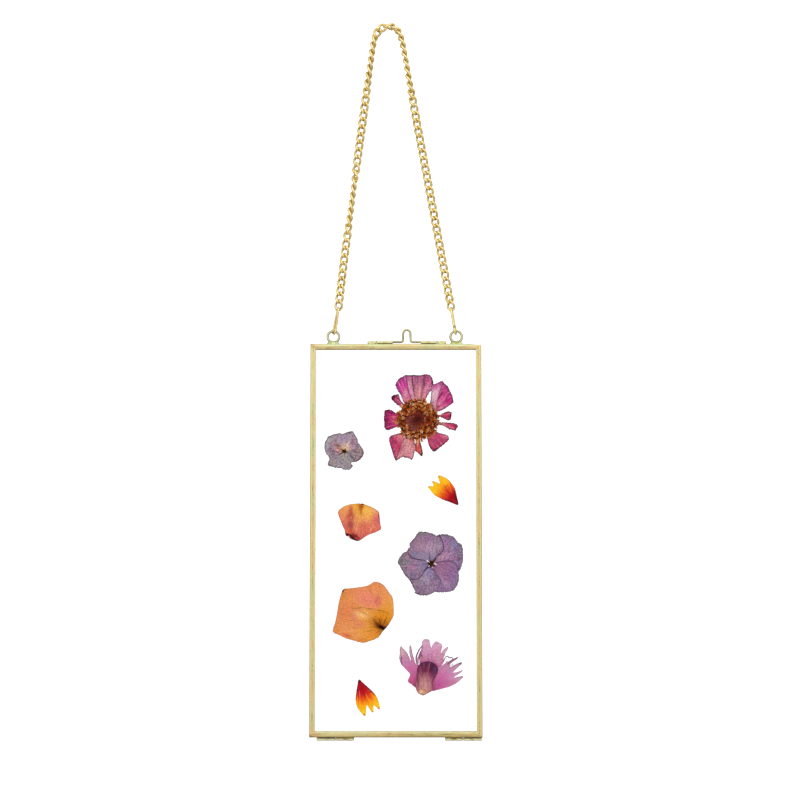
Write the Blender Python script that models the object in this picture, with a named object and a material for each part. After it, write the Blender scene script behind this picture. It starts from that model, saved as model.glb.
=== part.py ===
"""Pressed flower frame: two hinged brass and glass leaves that hang on a chain.

The frame faces -Y and hangs from the origin, which is the point where the
underside of the chain's bend bears on its hook. Lengths are in metres.
"""

import math

import bmesh
import bpy
from mathutils import Matrix, Vector

MM = 0.001

# Frame: two equal leaves, each one pane held in four mitred brass channels.
FRAME_WIDTH = 100.0 * MM
FRAME_HEIGHT = 228.1 * MM
FRAME_LEFT = -46.0 * MM
FRAME_TOP = -188.0 * MM
RAIL_WIDTH = 3.1 * MM
RAIL_DEPTH = 3.2 * MM
RAIL_WALL = 0.4 * MM
PANE_THICKNESS = 1.8 * MM
CLEARANCE = 0.3 * MM
SOLDER_GAP = 0.2 * MM
SEAM_Y = -0.8 * MM

# Hinge at the foot: two pinned pairs of tube knuckles.
TUBE_RADIUS = 0.9 * MM
KNUCKLE_BORE = 0.55 * MM
PIN_RADIUS = 0.45 * MM
PIN_STAND_OUT = 0.2 * MM
LEFT_HINGE_X = (-41.7 * MM, -30.75 * MM, -20.0 * MM)
RIGHT_HINGE_X = (32.4 * MM, 43.05 * MM, 54.0 * MM)

# Latch at the top: a sprung wire whose arms run through four short tubes.
LATCH_X = 10.4 * MM
LATCH_BORE = 0.675 * MM
LATCH_WIRE_RADIUS = 0.575 * MM
INNER_TUBE_START = 8.2 * MM
INNER_TUBE_LENGTH = 9.4 * MM
OUTER_TUBE_LENGTH = 5.2 * MM
ARM_IN_OUTER_TUBE = 1.7 * MM
LOOP_RADIUS = 1.95 * MM
LOOP_HEIGHT = 7.1 * MM
FOOT_SPREAD = 0.15 * MM
FOOT_BEND = 1.2 * MM

# Eye rings and the long links that join them to the chain.
RING_X = (-32.7 * MM, 39.4 * MM)
RING_WIRE_RADIUS = 0.65 * MM
RING_RADIUS = 3.45 * MM
LINK_WIRE_RADIUS = 0.65 * MM
LINK_HALF_WIDTH = 1.6 * MM
LINK_LENGTH = 15.5 * MM
LINK_LEAN = (math.radians(9.5), math.radians(-9.7))
LINK_TWIST = (math.radians(22.0), math.radians(-11.0))
LINK_CONTACT_GAP = 0.15 * MM

# Chain: its outer diameter, and the line it hangs on, left end to right end.
CHAIN_RADIUS = 2.1 * MM
CHAIN_STEP = 6.0 * MM
CHAIN_ROUTE = (
    (-29.7, -165.4), (-26.9, -141.0), (-23.4, -114.0), (-19.9, -87.0),
    (-16.5, -61.0), (-13.2, -36.0), (-10.9, -18.9), (-9.6, -9.6),
    (-8.2, -3.6), (-5.9, 0.1), (-3.0, 1.8), (0.2, 2.1),
    (3.6, 1.1), (6.0, -1.9), (7.5, -6.7), (9.3, -16.0),
    (12.5, -34.3), (17.3, -61.2), (22.2, -88.0), (27.1, -115.0),
    (31.9, -141.5), (36.3, -165.4),
)

# Pressed flowers: thin pieces in layers between the panes, front to back.
PETAL_THICKNESS = 0.1 * MM
LAYER_Y = {
    "disc": -0.6 * MM,
    "heart": -0.45 * MM,
    1: -0.05 * MM,
    2: 0.2 * MM,
    3: 0.45 * MM,
}
DISC_RADIUS = 12.2 * MM
DISC_THICKNESS = 0.4 * MM
DISC_RIPPLES = 11
DISC_RIPPLE_HEIGHT = 0.025
HEART_THICKNESS = 0.25 * MM
HEART_NOTCH = 0.55

# Outlines in millimetres from each flower's own centre, X then Z.
ZINNIA_CENTRE = (16.7, -232.4)
ZINNIA_PETALS = {
    "zinnia_petal_top_left": (1, (
        (-8.4, 10.9), (-9.7, 14.6), (-11.2, 16.5), (-12.9, 20.4), (-11.8, 22.5),
        (-10.5, 24.2), (-8.6, 25.1), (-6.7, 25.8), (-6.3, 21.7), (-5.6, 16.8),
        (-3.7, 11.6), (-2.9, 7.2), (-6.0, 7.9))),
    "zinnia_petal_top_pale": (2, (
        (-6.8, 25.8), (-4.8, 25.9), (-2.5, 25.7), (-2.3, 21.7), (-1.7, 16.8),
        (-1.0, 13.1), (-0.9, 7.2), (-3.0, 7.2), (-4.1, 11.6), (-5.6, 16.5),
        (-6.4, 21.7))),
    "zinnia_petal_top_dusky": (1, (
        (-2.8, 25.6), (-1.1, 26.0), (1.9, 25.8), (3.8, 26.0), (4.1, 21.7),
        (2.9, 16.8), (2.0, 12.7), (1.5, 7.0), (-0.9, 7.2), (-1.4, 13.1),
        (-2.2, 17.2), (-2.8, 21.7))),
    "zinnia_petal_top_right": (2, (
        (3.7, 26.0), (4.2, 26.5), (5.8, 26.4), (7.5, 25.7), (8.6, 24.0),
        (9.1, 21.2), (8.4, 18.3), (7.1, 16.5), (5.7, 14.2), (4.6, 11.6),
        (3.4, 7.2), (1.3, 7.3), (1.7, 12.7), (2.8, 16.8), (3.9, 21.7))),
    "zinnia_petal_upper_right_pale": (1, (
        (6.9, 8.2), (7.5, 10.5), (7.9, 13.5), (8.2, 16.8), (8.3, 19.5),
        (9.7, 20.5), (11.8, 21.5), (14.4, 22.4), (14.1, 19.8), (12.7, 16.8),
        (11.8, 13.5), (11.1, 9.7), (10.1, 6.7), (7.5, 5.6))),
    "zinnia_petal_upper_right": (2, (
        (14.4, 22.4), (15.7, 20.9), (17.7, 19.4), (18.8, 16.7), (20.2, 14.2),
        (20.6, 12.0), (20.9, 10.2), (19.1, 8.8), (16.1, 6.7), (13.1, 5.2),
        (8.6, 4.5), (7.8, 6.4), (10.5, 9.0), (11.6, 12.7), (12.5, 16.5),
        (14.0, 19.8))),
    "zinnia_petal_right_small": (1, (
        (11.0, 3.0), (13.4, 2.7), (14.8, 3.7), (16.8, 4.5), (18.5, 4.7),
        (19.8, 4.0), (19.6, 2.2), (19.3, 0.4), (17.9, -0.4), (15.7, 0.6),
        (13.4, 1.6), (10.8, 1.6), (7.8, 0.9), (7.8, 2.9))),
    "zinnia_petal_right_thin": (2, (
        (10.1, -1.2), (12.5, -1.6), (15.3, -1.7), (18.3, -1.9), (20.5, -2.1),
        (22.4, -2.6), (23.6, -3.8), (22.8, -4.8), (22.0, -6.4), (20.5, -5.8),
        (18.7, -5.6), (16.4, -4.2), (13.8, -3.1), (10.1, -2.7), (7.8, -2.5),
        (7.8, -1.1))),
    "zinnia_petal_lower_right": (1, (
        (9.7, -6.7), (12.7, -8.0), (15.3, -8.6), (17.6, -9.5), (18.2, -11.6),
        (16.0, -13.8), (13.4, -15.9), (11.5, -17.4), (9.7, -18.7), (8.2, -17.6),
        (6.9, -15.5), (6.1, -13.1), (5.6, -10.5), (4.8, -7.5), (7.1, -5.6))),
    "zinnia_petal_bottom_narrow": (2, (
        (-0.9, -13.1), (-1.1, -9.0), (1.1, -9.0), (1.3, -12.3), (1.9, -14.6),
        (2.3, -16.4), (2.8, -18.7), (2.9, -20.5), (2.2, -21.3), (0.7, -19.8),
        (-1.1, -18.3), (-1.7, -16.4))),
    "zinnia_petal_bottom_pale": (1, (
        (-8.2, -12.3), (-9.7, -16.4), (-11.0, -19.4), (-12.6, -23.6),
        (-10.5, -22.6), (-9.0, -21.7), (-7.1, -22.1), (-5.2, -22.4),
        (-3.2, -23.4), (-2.3, -20.5), (-1.6, -17.2), (-1.7, -14.9),
        (-2.2, -11.2), (-3.4, -8.2), (-6.0, -7.5))),
    "zinnia_petal_bottom_left": (2, (
        (-9.7, -7.7), (-12.7, -8.6), (-16.1, -9.9), (-16.5, -12.3),
        (-15.9, -14.9), (-14.9, -17.9), (-14.1, -20.9), (-12.7, -23.7),
        (-11.4, -20.5), (-9.7, -16.4), (-8.0, -12.3), (-5.6, -8.6),
        (-6.3, -5.9))),
    "zinnia_petal_left": (1, (
        (-12.2, 3.4), (-14.4, 4.9), (-16.4, 5.8), (-18.3, 5.5), (-19.4, 4.9),
        (-19.3, 3.0), (-19.7, 0.7), (-19.3, -1.5), (-19.4, -4.1), (-18.7, -5.4),
        (-17.5, -6.1), (-15.3, -5.4), (-13.1, -4.4), (-8.6, -2.2), (-8.6, 3.0))),
    "zinnia_petal_upper_left_small": (2, (
        (-10.1, 8.2), (-11.4, 8.4), (-13.3, 10.1), (-14.8, 11.6), (-15.4, 12.8),
        (-14.4, 14.2), (-12.9, 14.5), (-11.2, 14.8), (-10.6, 12.7), (-9.5, 10.5),
        (-6.2, 7.2), (-7.1, 5.6))),
}

LILAC_CENTRE = (-26.2, -250.9)
LILAC_SEPALS = {
    "lilac_sepal_upper": (1, (
        (-2.9, 9.8), (-1.7, 10.1), (-0.4, 10.1), (1.9, 11.1), (4.1, 11.6),
        (5.3, 11.1), (6.6, 8.8), (7.8, 6.7), (7.9, 5.0), (7.8, 3.2),
        (7.3, 2.1), (5.9, 1.2), (3.7, 0.8), (1.5, 0.7), (0.1, 0.9),
        (-1.0, 1.8), (-2.6, 3.9), (-4.0, 5.6), (-3.7, 8.1))),
    "lilac_sepal_right": (2, (
        (1.2, -0.2), (1.5, 0.7), (3.7, 0.9), (5.9, 1.3), (7.5, 2.3),
        (8.4, 3.9), (9.5, 3.0), (10.4, 1.8), (11.5, -1.1), (10.4, -3.1),
        (9.1, -4.9), (6.8, -6.0), (5.3, -5.8), (6.0, -4.0), (5.7, -2.4),
        (4.1, -1.5), (2.4, -1.0))),
    "lilac_sepal_bottom": (1, (
        (0.3, -0.9), (2.4, -1.1), (4.4, -1.9), (5.7, -2.9), (5.8, -4.4),
        (4.7, -5.9), (3.7, -7.0), (4.9, -8.2), (4.2, -9.6), (3.3, -10.6),
        (1.3, -10.7), (-0.5, -10.5), (-1.9, -9.6), (-4.1, -9.6), (-6.8, -9.0),
        (-9.4, -8.2), (-9.4, -7.0), (-8.5, -4.9), (-8.2, -2.9), (-6.1, -2.6),
        (-3.9, -2.8), (-1.7, -1.7), (-0.6, -0.9))),
    "lilac_sepal_left": (2, (
        (-0.8, 0.5), (-1.0, -0.9), (-1.7, -1.7), (-3.5, -2.6), (-5.7, -2.6),
        (-7.9, -2.9), (-9.5, -2.4), (-10.9, -0.4), (-11.4, 2.3), (-11.2, 5.0),
        (-10.2, 6.8), (-9.4, 8.3), (-6.9, 9.5), (-4.4, 10.1), (-2.9, 9.8),
        (-3.8, 7.9), (-4.2, 5.9), (-2.6, 3.6), (-1.0, 1.5))),
}
LILAC_HEART_RADIUS = 1.1 * MM

PURPLE_CENTRE = (24.6, -316.2)
PURPLE_SEPALS = {
    "purple_sepal_upper_left": (1, (
        (-7.4, 18.2), (-5.0, 18.3), (-2.7, 18.2), (-0.3, 17.5), (2.3, 16.6),
        (3.0, 15.7), (4.5, 15.9), (6.3, 12.3), (6.8, 9.0), (5.7, 6.7),
        (3.3, 4.6), (1.2, 2.5), (-0.1, 1.2), (-1.5, 1.6), (-3.9, 2.4),
        (-7.4, 2.8), (-10.7, 3.3), (-12.6, 5.2), (-13.2, 7.0), (-13.4, 8.7),
        (-12.2, 9.3), (-12.5, 11.7), (-9.5, 15.0))),
    "purple_sepal_upper_right": (2, (
        (4.5, 15.9), (5.7, 16.7), (7.5, 17.0), (9.2, 16.7), (11.3, 16.0),
        (13.4, 15.0), (15.2, 12.3), (17.8, 10.5), (18.3, 5.2), (18.3, 2.2),
        (17.5, -1.3), (16.1, -3.3), (14.8, -1.0), (13.1, 0.4), (10.1, 1.3),
        (5.6, 1.0), (2.7, 0.1), (1.2, 0.3), (1.2, 2.2), (3.9, 4.9),
        (6.0, 7.0), (6.8, 9.3), (6.3, 12.3))),
    "purple_sepal_lower_right": (1, (
        (1.3, -0.4), (2.7, 0.1), (5.6, 0.9), (10.1, 1.3), (13.1, 0.4),
        (15.4, -1.9), (15.9, -3.7), (15.6, -5.8), (16.1, -7.8), (15.4, -11.4),
        (14.2, -13.7), (12.7, -15.4), (10.7, -16.1), (7.1, -16.5), (4.0, -16.1),
        (4.4, -13.7), (5.6, -11.7), (5.3, -9.0), (3.6, -6.4), (1.8, -4.0),
        (0.6, -1.9))),
    "purple_sepal_bottom": (2, (
        (-0.3, -1.6), (1.2, -3.3), (3.6, -6.4), (5.3, -9.0), (5.6, -11.7),
        (4.0, -15.8), (1.5, -16.4), (-0.3, -17.4), (-2.1, -18.2), (-4.8, -18.3),
        (-6.8, -18.2), (-8.3, -17.6), (-9.6, -16.8), (-9.2, -15.8),
        (-10.7, -13.4), (-11.6, -10.8), (-11.9, -9.3), (-9.2, -9.8),
        (-6.8, -8.4), (-5.1, -6.7), (-3.6, -4.3), (-1.8, -2.5))),
    "purple_sepal_left": (3, (
        (-1.3, -0.4), (-2.1, -1.6), (-3.6, -3.1), (-4.5, -4.9), (-5.6, -7.2),
        (-7.4, -9.0), (-9.8, -9.8), (-11.9, -9.3), (-14.0, -8.1), (-15.4, -6.4),
        (-16.9, -3.7), (-18.4, -1.0), (-19.5, 1.0), (-18.1, 3.7), (-16.0, 6.2),
        (-13.1, 7.0), (-12.5, 5.2), (-10.7, 3.4), (-7.4, 2.8), (-3.9, 2.4),
        (-1.8, 1.0))),
}
PURPLE_HEART_RADIUS = 1.2 * MM

FRINGED_CENTRE = (21.8, -381.0)
FRINGED_PIECES = {
    "fringed_petal_left": (1, (
        (-5.0, -6.0), (-6.8, -6.3), (-8.6, -4.7), (-10.3, -3.7), (-10.8, -2.6),
        (-10.0, -0.8), (-9.4, 1.1), (-11.1, 3.0), (-13.0, 5.1), (-14.7, 6.9),
        (-15.4, 8.8), (-15.7, 10.7), (-15.4, 12.7), (-15.5, 14.6), (-15.0, 17.1),
        (-13.7, 15.7), (-12.2, 14.3), (-10.8, 12.1), (-9.7, 9.9), (-8.7, 7.7),
        (-9.0, 9.9), (-9.7, 12.7), (-9.9, 15.4), (-9.6, 17.9), (-8.7, 15.4),
        (-8.0, 11.8), (-7.2, 9.4), (-6.6, 7.2), (-5.3, 6.3), (-2.8, 4.4),
        (-2.8, -1.1))),
    "fringed_petal_top": (2, (
        (-3.3, 4.4), (-3.6, 7.2), (-2.8, 9.4), (-2.9, 11.6), (-3.2, 14.0),
        (-2.8, 16.8), (-2.5, 19.3), (-1.9, 20.8), (-0.3, 21.1), (1.4, 20.8),
        (2.0, 18.4), (2.6, 15.8), (3.6, 17.9), (4.7, 19.3), (5.9, 19.9),
        (7.2, 19.1), (8.6, 18.2), (9.0, 17.3), (8.5, 15.1), (8.1, 12.4),
        (9.5, 14.6), (10.6, 15.7), (12.3, 16.9), (12.0, 15.1), (10.8, 13.2),
        (9.9, 10.7), (9.2, 8.5), (8.0, 6.0), (6.1, 4.4), (3.3, 3.0),
        (-0.6, 3.0))),
    "fringed_petal_right": (1, (
        (5.0, 1.6), (6.7, 3.3), (8.5, 4.7), (9.7, 6.0), (11.7, 7.4),
        (13.6, 8.8), (15.8, 9.9), (18.1, 10.7), (16.9, 9.4), (14.7, 8.0),
        (13.3, 6.3), (14.0, 5.1), (16.4, 6.5), (18.6, 7.4), (20.6, 7.8),
        (19.7, 6.5), (18.0, 5.1), (16.6, 3.7), (15.1, 1.9), (17.2, 2.1),
        (19.1, 2.7), (20.9, 3.4), (19.7, 2.1), (17.7, 0.8), (16.1, -0.3),
        (15.5, -1.2), (18.0, -0.5), (21.1, -0.1), (20.1, -1.5), (17.7, -3.6),
        (15.0, -5.2), (12.2, -6.3), (8.0, -7.4), (5.3, -8.1), (3.0, -8.3),
        (1.7, -3.8), (2.8, 0.0))),
    "fringed_calyx": ("heart", (
        (-5.3, -9.1), (-6.4, -6.6), (-6.3, -3.8), (-5.8, -0.5), (-5.5, 3.0),
        (-5.0, 5.5), (-3.6, 7.2), (-1.7, 8.0), (1.1, 8.4), (3.6, 7.7),
        (5.6, 6.0), (6.4, 3.8), (6.1, 1.6), (5.0, -0.5), (3.9, -2.7),
        (3.6, -5.2), (3.6, -7.7), (1.7, -9.1), (-0.6, -10.4), (-1.8, -11.0),
        (-3.3, -10.6), (-4.7, -9.9))),
}

UPPER_RAY_BASE = (39.9, -281.4)
UPPER_RAY = {
    "ray_floret_upper": (1, (
        (0.3, -0.3), (0.1, 0.9), (-0.5, 3.3), (-1.0, 5.8), (-1.7, 8.5),
        (-3.2, 11.0), (-5.5, 13.8), (-8.4, 15.5), (-11.0, 16.1), (-10.5, 13.6),
        (-9.9, 11.3), (-12.2, 12.1), (-14.5, 13.0), (-13.9, 11.2), (-13.7, 9.9),
        (-15.3, 9.9), (-16.9, 9.7), (-15.3, 7.6), (-13.5, 5.4), (-11.4, 4.1),
        (-8.5, 2.6), (-6.0, 1.7), (-3.3, 0.7), (-0.5, -0.5))),
}
LOWER_RAY_BASE = (-17.4, -383.5)
LOWER_RAY = {
    "ray_floret_lower": (1, (
        (0.0, 0.2), (0.6, 0.0), (3.0, -2.2), (4.8, -3.8), (7.2, -6.0),
        (9.1, -8.1), (10.4, -10.2), (11.5, -13.4), (11.9, -16.5), (10.4, -15.2),
        (8.5, -13.7), (8.2, -16.1), (8.0, -18.3), (6.3, -16.1), (4.5, -13.5),
        (3.9, -17.0), (3.6, -20.3), (1.9, -18.7), (-0.2, -16.1), (-1.3, -13.4),
        (-1.6, -10.6), (-1.1, -6.0), (-0.5, -2.4))),
}
SMALL_ROSE_CENTRE = (-16.2, -292.4)
SMALL_ROSE = {
    "rose_petal_small": (1, (
        (-13.5, 6.0), (-11.2, 8.5), (-8.3, 10.0), (-4.9, 10.7), (0.7, 10.9),
        (3.6, 9.8), (6.2, 8.9), (8.7, 7.3), (10.3, 5.8), (10.7, 1.8),
        (11.2, -1.8), (11.5, -3.8), (8.3, -5.6), (4.0, -7.1), (0.7, -9.3),
        (-1.8, -10.7), (-4.4, -10.0), (-6.5, -9.1), (-7.1, -8.0), (-8.9, -7.6),
        (-9.4, -4.7), (-10.7, -1.8), (-12.1, 1.8))),
}
LARGE_ROSE_CENTRE = (-15.0, -346.3)
LARGE_ROSE = {
    "rose_petal_large": (1, (
        (-11.8, 14.9), (-9.5, 15.5), (-6.7, 15.8), (-2.2, 16.3), (2.2, 17.1),
        (5.5, 18.9), (7.5, 19.6), (11.7, 17.7), (15.0, 13.3), (17.2, 9.9),
        (17.6, 4.1), (17.5, 0.0), (15.6, -3.6), (13.6, -6.6), (11.1, -9.1),
        (8.9, -12.4), (3.6, -14.6), (-0.3, -15.5), (-5.0, -14.3), (-9.7, -13.0),
        (-14.4, -10.8), (-17.6, -9.1), (-16.1, -4.1), (-15.0, 1.4),
        (-13.9, 8.0))),
}

# Facets round each tube, pin and wire, and points along their bends.
TUBE_SIDES = 16
WIRE_BEVEL_RESOLUTION = 2
RING_POINTS = 24
BEND_POINTS = 5
LOOP_POINTS = 9
DISC_POINTS = 44
ROUTE_SAMPLES = 24
SHARP_ANGLE = math.radians(40.0)

# Places that several pieces share.
FRAME_RIGHT = FRAME_LEFT + FRAME_WIDTH
FRAME_BOTTOM = FRAME_TOP - FRAME_HEIGHT
BACK_LEAF_Y = SEAM_Y + CLEARANCE / 2
FRONT_LEAF_Y = SEAM_Y - CLEARANCE / 2 - RAIL_DEPTH
HINGE_Z = FRAME_BOTTOM - SOLDER_GAP - TUBE_RADIUS
LATCH_Z = FRAME_TOP + SOLDER_GAP + TUBE_RADIUS
RING_Z = FRAME_TOP + CLEARANCE + RING_RADIUS + RING_WIRE_RADIUS


def clear_scene():
    for obj in list(bpy.data.objects):
        bpy.data.objects.remove(obj, do_unlink=True)


def hex_colour(code):
    """Linear RGBA from an sRGB hex string."""
    channels = []
    for start in (1, 3, 5):
        value = int(code[start:start + 2], 16) / 255
        linear = value / 12.92 if value <= 0.04045 else ((value + 0.055) / 1.055) ** 2.4
        channels.append(linear)
    return (*channels, 1.0)


def make_material(name, code, roughness, metallic=0.0, transmission=0.0):
    material = bpy.data.materials.new(name)
    material.use_nodes = True
    shader = material.node_tree.nodes["Principled BSDF"]
    shader.inputs["Base Color"].default_value = hex_colour(code)
    shader.inputs["Roughness"].default_value = roughness
    shader.inputs["Metallic"].default_value = metallic
    shader.inputs["Transmission Weight"].default_value = transmission
    material.diffuse_color = hex_colour(code)
    return material


def add_object(name, data, material, matrix=None):
    data.materials.append(material)
    obj = bpy.data.objects.new(name, data)
    bpy.context.scene.collection.objects.link(obj)
    if matrix is not None:
        obj.matrix_world = matrix
    return obj


def mesh_from_bmesh(name, bm):
    bmesh.ops.recalc_face_normals(bm, faces=bm.faces[:])
    mesh = bpy.data.meshes.new(name)
    bm.to_mesh(mesh)
    bm.free()
    return mesh


def rail_mesh(name, length):
    """A channel along +X, open towards +Z, its ends mitred at 45 degrees."""
    inner_y = RAIL_DEPTH - RAIL_WALL
    section = (
        (0.0, 0.0), (RAIL_WIDTH, 0.0), (RAIL_WIDTH, RAIL_WALL), (RAIL_WALL, RAIL_WALL),
        (RAIL_WALL, inner_y), (RAIL_WIDTH, inner_y), (RAIL_WIDTH, RAIL_DEPTH), (0.0, RAIL_DEPTH),
    )
    mitre_gap = CLEARANCE / 2
    bm = bmesh.new()
    start = []
    end = []
    for inward, y in section:
        start.append(bm.verts.new((inward + mitre_gap, y, inward)))
        end.append(bm.verts.new((length - inward - mitre_gap, y, inward)))
    bm.faces.new(start)
    bm.faces.new(end[::-1])
    for index in range(len(section)):
        after = (index + 1) % len(section)
        bm.faces.new((start[index], end[index], end[after], start[after]))
    return mesh_from_bmesh(name, bm)


def add_leaf(prefix, leaf_y, brass, glass):
    """Four channels round one pane; the corners run anticlockwise from bottom left."""
    sides = (
        ("bottom", FRAME_LEFT, FRAME_BOTTOM, 0.0, FRAME_WIDTH),
        ("right", FRAME_RIGHT, FRAME_BOTTOM, -90.0, FRAME_HEIGHT),
        ("top", FRAME_RIGHT, FRAME_TOP, 180.0, FRAME_WIDTH),
        ("left", FRAME_LEFT, FRAME_TOP, 90.0, FRAME_HEIGHT),
    )
    for side, x, z, turn, length in sides:
        name = f"{prefix}_rail_{side}"
        place = Matrix.Translation((x, leaf_y, z)) @ Matrix.Rotation(math.radians(turn), 4, "Y")
        add_object(name, rail_mesh(name, length), brass, place)

    inset = RAIL_WALL + CLEARANCE
    size = (FRAME_WIDTH - 2 * inset, PANE_THICKNESS, FRAME_HEIGHT - 2 * inset)
    bm = bmesh.new()
    bmesh.ops.create_cube(bm, size=1.0, matrix=Matrix.Diagonal((*size, 1.0)))
    centre = (
        (FRAME_LEFT + FRAME_RIGHT) / 2,
        leaf_y + RAIL_DEPTH / 2,
        (FRAME_TOP + FRAME_BOTTOM) / 2,
    )
    name = f"{prefix}_pane"
    add_object(name, mesh_from_bmesh(name, bm), glass, Matrix.Translation(centre))


def add_tube(name, start_x, end_x, z, bore, brass):
    """A short tube along X on the seam between the leaves."""
    bm = bmesh.new()
    rings = []
    corners = ((start_x, bore), (start_x, TUBE_RADIUS), (end_x, TUBE_RADIUS), (end_x, bore))
    for step in range(TUBE_SIDES):
        angle = 2 * math.pi * step / TUBE_SIDES
        ring = []
        for x, radius in corners:
            ring.append(bm.verts.new((x, radius * math.cos(angle), radius * math.sin(angle))))
        rings.append(ring)
    for step, ring in enumerate(rings):
        following = rings[(step + 1) % TUBE_SIDES]
        for corner in range(4):
            after = (corner + 1) % 4
            bm.faces.new((ring[corner], ring[after], following[after], following[corner]))
    mesh = mesh_from_bmesh(name, bm)
    mesh.shade_smooth()
    mesh.set_sharp_from_angle(angle=SHARP_ANGLE)
    add_object(name, mesh, brass, Matrix.Translation((0.0, SEAM_Y, z)))


def add_pin(name, start_x, end_x, z, radius, steel):
    bm = bmesh.new()
    bmesh.ops.create_cone(
        bm, cap_ends=True, segments=TUBE_SIDES, radius1=radius, radius2=radius,
        depth=end_x - start_x, matrix=Matrix.Rotation(math.pi / 2, 4, "Y"))
    mesh = mesh_from_bmesh(name, bm)
    mesh.shade_smooth()
    mesh.set_sharp_from_angle(angle=SHARP_ANGLE)
    add_object(name, mesh, steel, Matrix.Translation(((start_x + end_x) / 2, SEAM_Y, z)))


def add_wire(name, points, radius, material, matrix=None, closed=False):
    """A round wire along the points, as a bevelled curve."""
    curve = bpy.data.curves.new(name, "CURVE")
    curve.dimensions = "3D"
    curve.bevel_depth = radius
    curve.bevel_resolution = WIRE_BEVEL_RESOLUTION
    curve.use_fill_caps = not closed
    spline = curve.splines.new("POLY")
    spline.points.add(len(points) - 1)
    for target, point in zip(spline.points, points):
        target.co = (*point, 1.0)
    spline.use_cyclic_u = closed
    return add_object(name, curve, material, matrix)


def arc(centre, radius, start, end, count):
    """Points on an arc in the XZ plane, angles in degrees from +X."""
    points = []
    for step in range(count):
        angle = math.radians(start + (end - start) * step / (count - 1))
        x = centre[0] + radius * math.cos(angle)
        z = centre[1] + radius * math.sin(angle)
        points.append((x, 0.0, z))
    return points


def add_hinges(brass, steel):
    """Each hinge has one knuckle on either leaf; the back leaf's are the outer ones."""
    half_gap = CLEARANCE / 2
    for side, (low, middle, high) in (("left", LEFT_HINGE_X), ("right", RIGHT_HINGE_X)):
        near = (low, middle - half_gap)
        far = (middle + half_gap, high)
        back, front = (near, far) if side == "left" else (far, near)
        add_tube(f"hinge_knuckle_back_{side}", *back, HINGE_Z, KNUCKLE_BORE, brass)
        add_tube(f"hinge_knuckle_front_{side}", *front, HINGE_Z, KNUCKLE_BORE, brass)
        pin_start = low - PIN_STAND_OUT if side == "left" else low
        add_pin(f"hinge_pin_{side}", pin_start, high, HINGE_Z, PIN_RADIUS, steel)


def add_latch(brass):
    inner_end = INNER_TUBE_START + INNER_TUBE_LENGTH
    outer_start = inner_end + CLEARANCE
    outer_end = outer_start + OUTER_TUBE_LENGTH
    for side, sign in (("left", -1), ("right", 1)):
        inner = sorted((LATCH_X + sign * INNER_TUBE_START, LATCH_X + sign * inner_end))
        outer = sorted((LATCH_X + sign * outer_start, LATCH_X + sign * outer_end))
        add_tube(f"latch_tube_back_{side}", *inner, LATCH_Z, LATCH_BORE, brass)
        add_tube(f"latch_tube_front_{side}", *outer, LATCH_Z, LATCH_BORE, brass)

    arm = outer_start + ARM_IN_OUTER_TUBE
    foot = LOOP_RADIUS + FOOT_SPREAD + FOOT_BEND
    loop_z = LOOP_HEIGHT - LOOP_RADIUS
    half = [(arm, 0.0, 0.0)]
    half += arc((foot, FOOT_BEND), FOOT_BEND, -90, -180, BEND_POINTS)
    half += arc((0.0, loop_z), LOOP_RADIUS, 0, 90, LOOP_POINTS)
    mirrored = [(-x, y, z) for x, y, z in reversed(half[:-1])]
    place = Matrix.Translation((LATCH_X, SEAM_Y, LATCH_Z))
    add_wire("latch_spring", half + mirrored, LATCH_WIRE_RADIUS, brass, place)


def add_rings_and_links(brass, chain_brass):
    """Eye rings stand on the back leaf; a long link hangs through each."""
    reach = RING_RADIUS - RING_WIRE_RADIUS - LINK_WIRE_RADIUS - LINK_CONTACT_GAP
    for side, x, lean, twist in zip(("left", "right"), RING_X, LINK_LEAN, LINK_TWIST):
        ring = arc((0.0, 0.0), RING_RADIUS, 0, 360, RING_POINTS + 1)[:-1]
        ring_place = Matrix.Translation((x, 0.0, RING_Z))
        add_wire(f"eye_ring_{side}", ring, RING_WIRE_RADIUS, brass, ring_place, closed=True)

        low = reach + LINK_HALF_WIDTH
        high = reach + LINK_LENGTH - LINK_HALF_WIDTH
        outline = arc((0.0, low), LINK_HALF_WIDTH, 180, 360, LOOP_POINTS)
        outline += arc((0.0, high), LINK_HALF_WIDTH, 0, 180, LOOP_POINTS)
        edge_on = math.pi / 2 + twist
        link_place = (
            ring_place @ Matrix.Rotation(lean, 4, "Y") @ Matrix.Rotation(edge_on, 4, "Z"))
        add_wire(f"long_link_{side}", outline, LINK_WIRE_RADIUS, chain_brass, link_place,
                 closed=True)


def spline_point(before, start, end, after, t):
    """A point on the Catmull-Rom curve from start to end."""
    return 0.5 * (
        2 * start
        + (end - before) * t
        + (2 * before - 5 * start + 4 * end - after) * t ** 2
        + (3 * start - before - 3 * end + after) * t ** 3
    )


def chain_points():
    """Points a step apart along the smooth curve through the chain's route."""
    route = [Vector((x * MM, 0.0, z * MM)) for x, z in CHAIN_ROUTE]
    fine = []
    for index in range(len(route) - 1):
        before = route[max(index - 1, 0)]
        after = route[min(index + 2, len(route) - 1)]
        for step in range(ROUTE_SAMPLES):
            share = step / ROUTE_SAMPLES
            fine.append(spline_point(before, route[index], route[index + 1], after, share))
    fine.append(route[-1])

    travelled = [0.0]
    for start, end in zip(fine, fine[1:]):
        travelled.append(travelled[-1] + (end - start).length)
    count = round(travelled[-1] / CHAIN_STEP)
    points = []
    index = 0
    for step in range(count + 1):
        target = travelled[-1] * step / count
        while index < len(fine) - 2 and travelled[index + 1] < target:
            index += 1
        share = (target - travelled[index]) / (travelled[index + 1] - travelled[index])
        points.append(fine[index].lerp(fine[index + 1], share))
    return points


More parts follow.
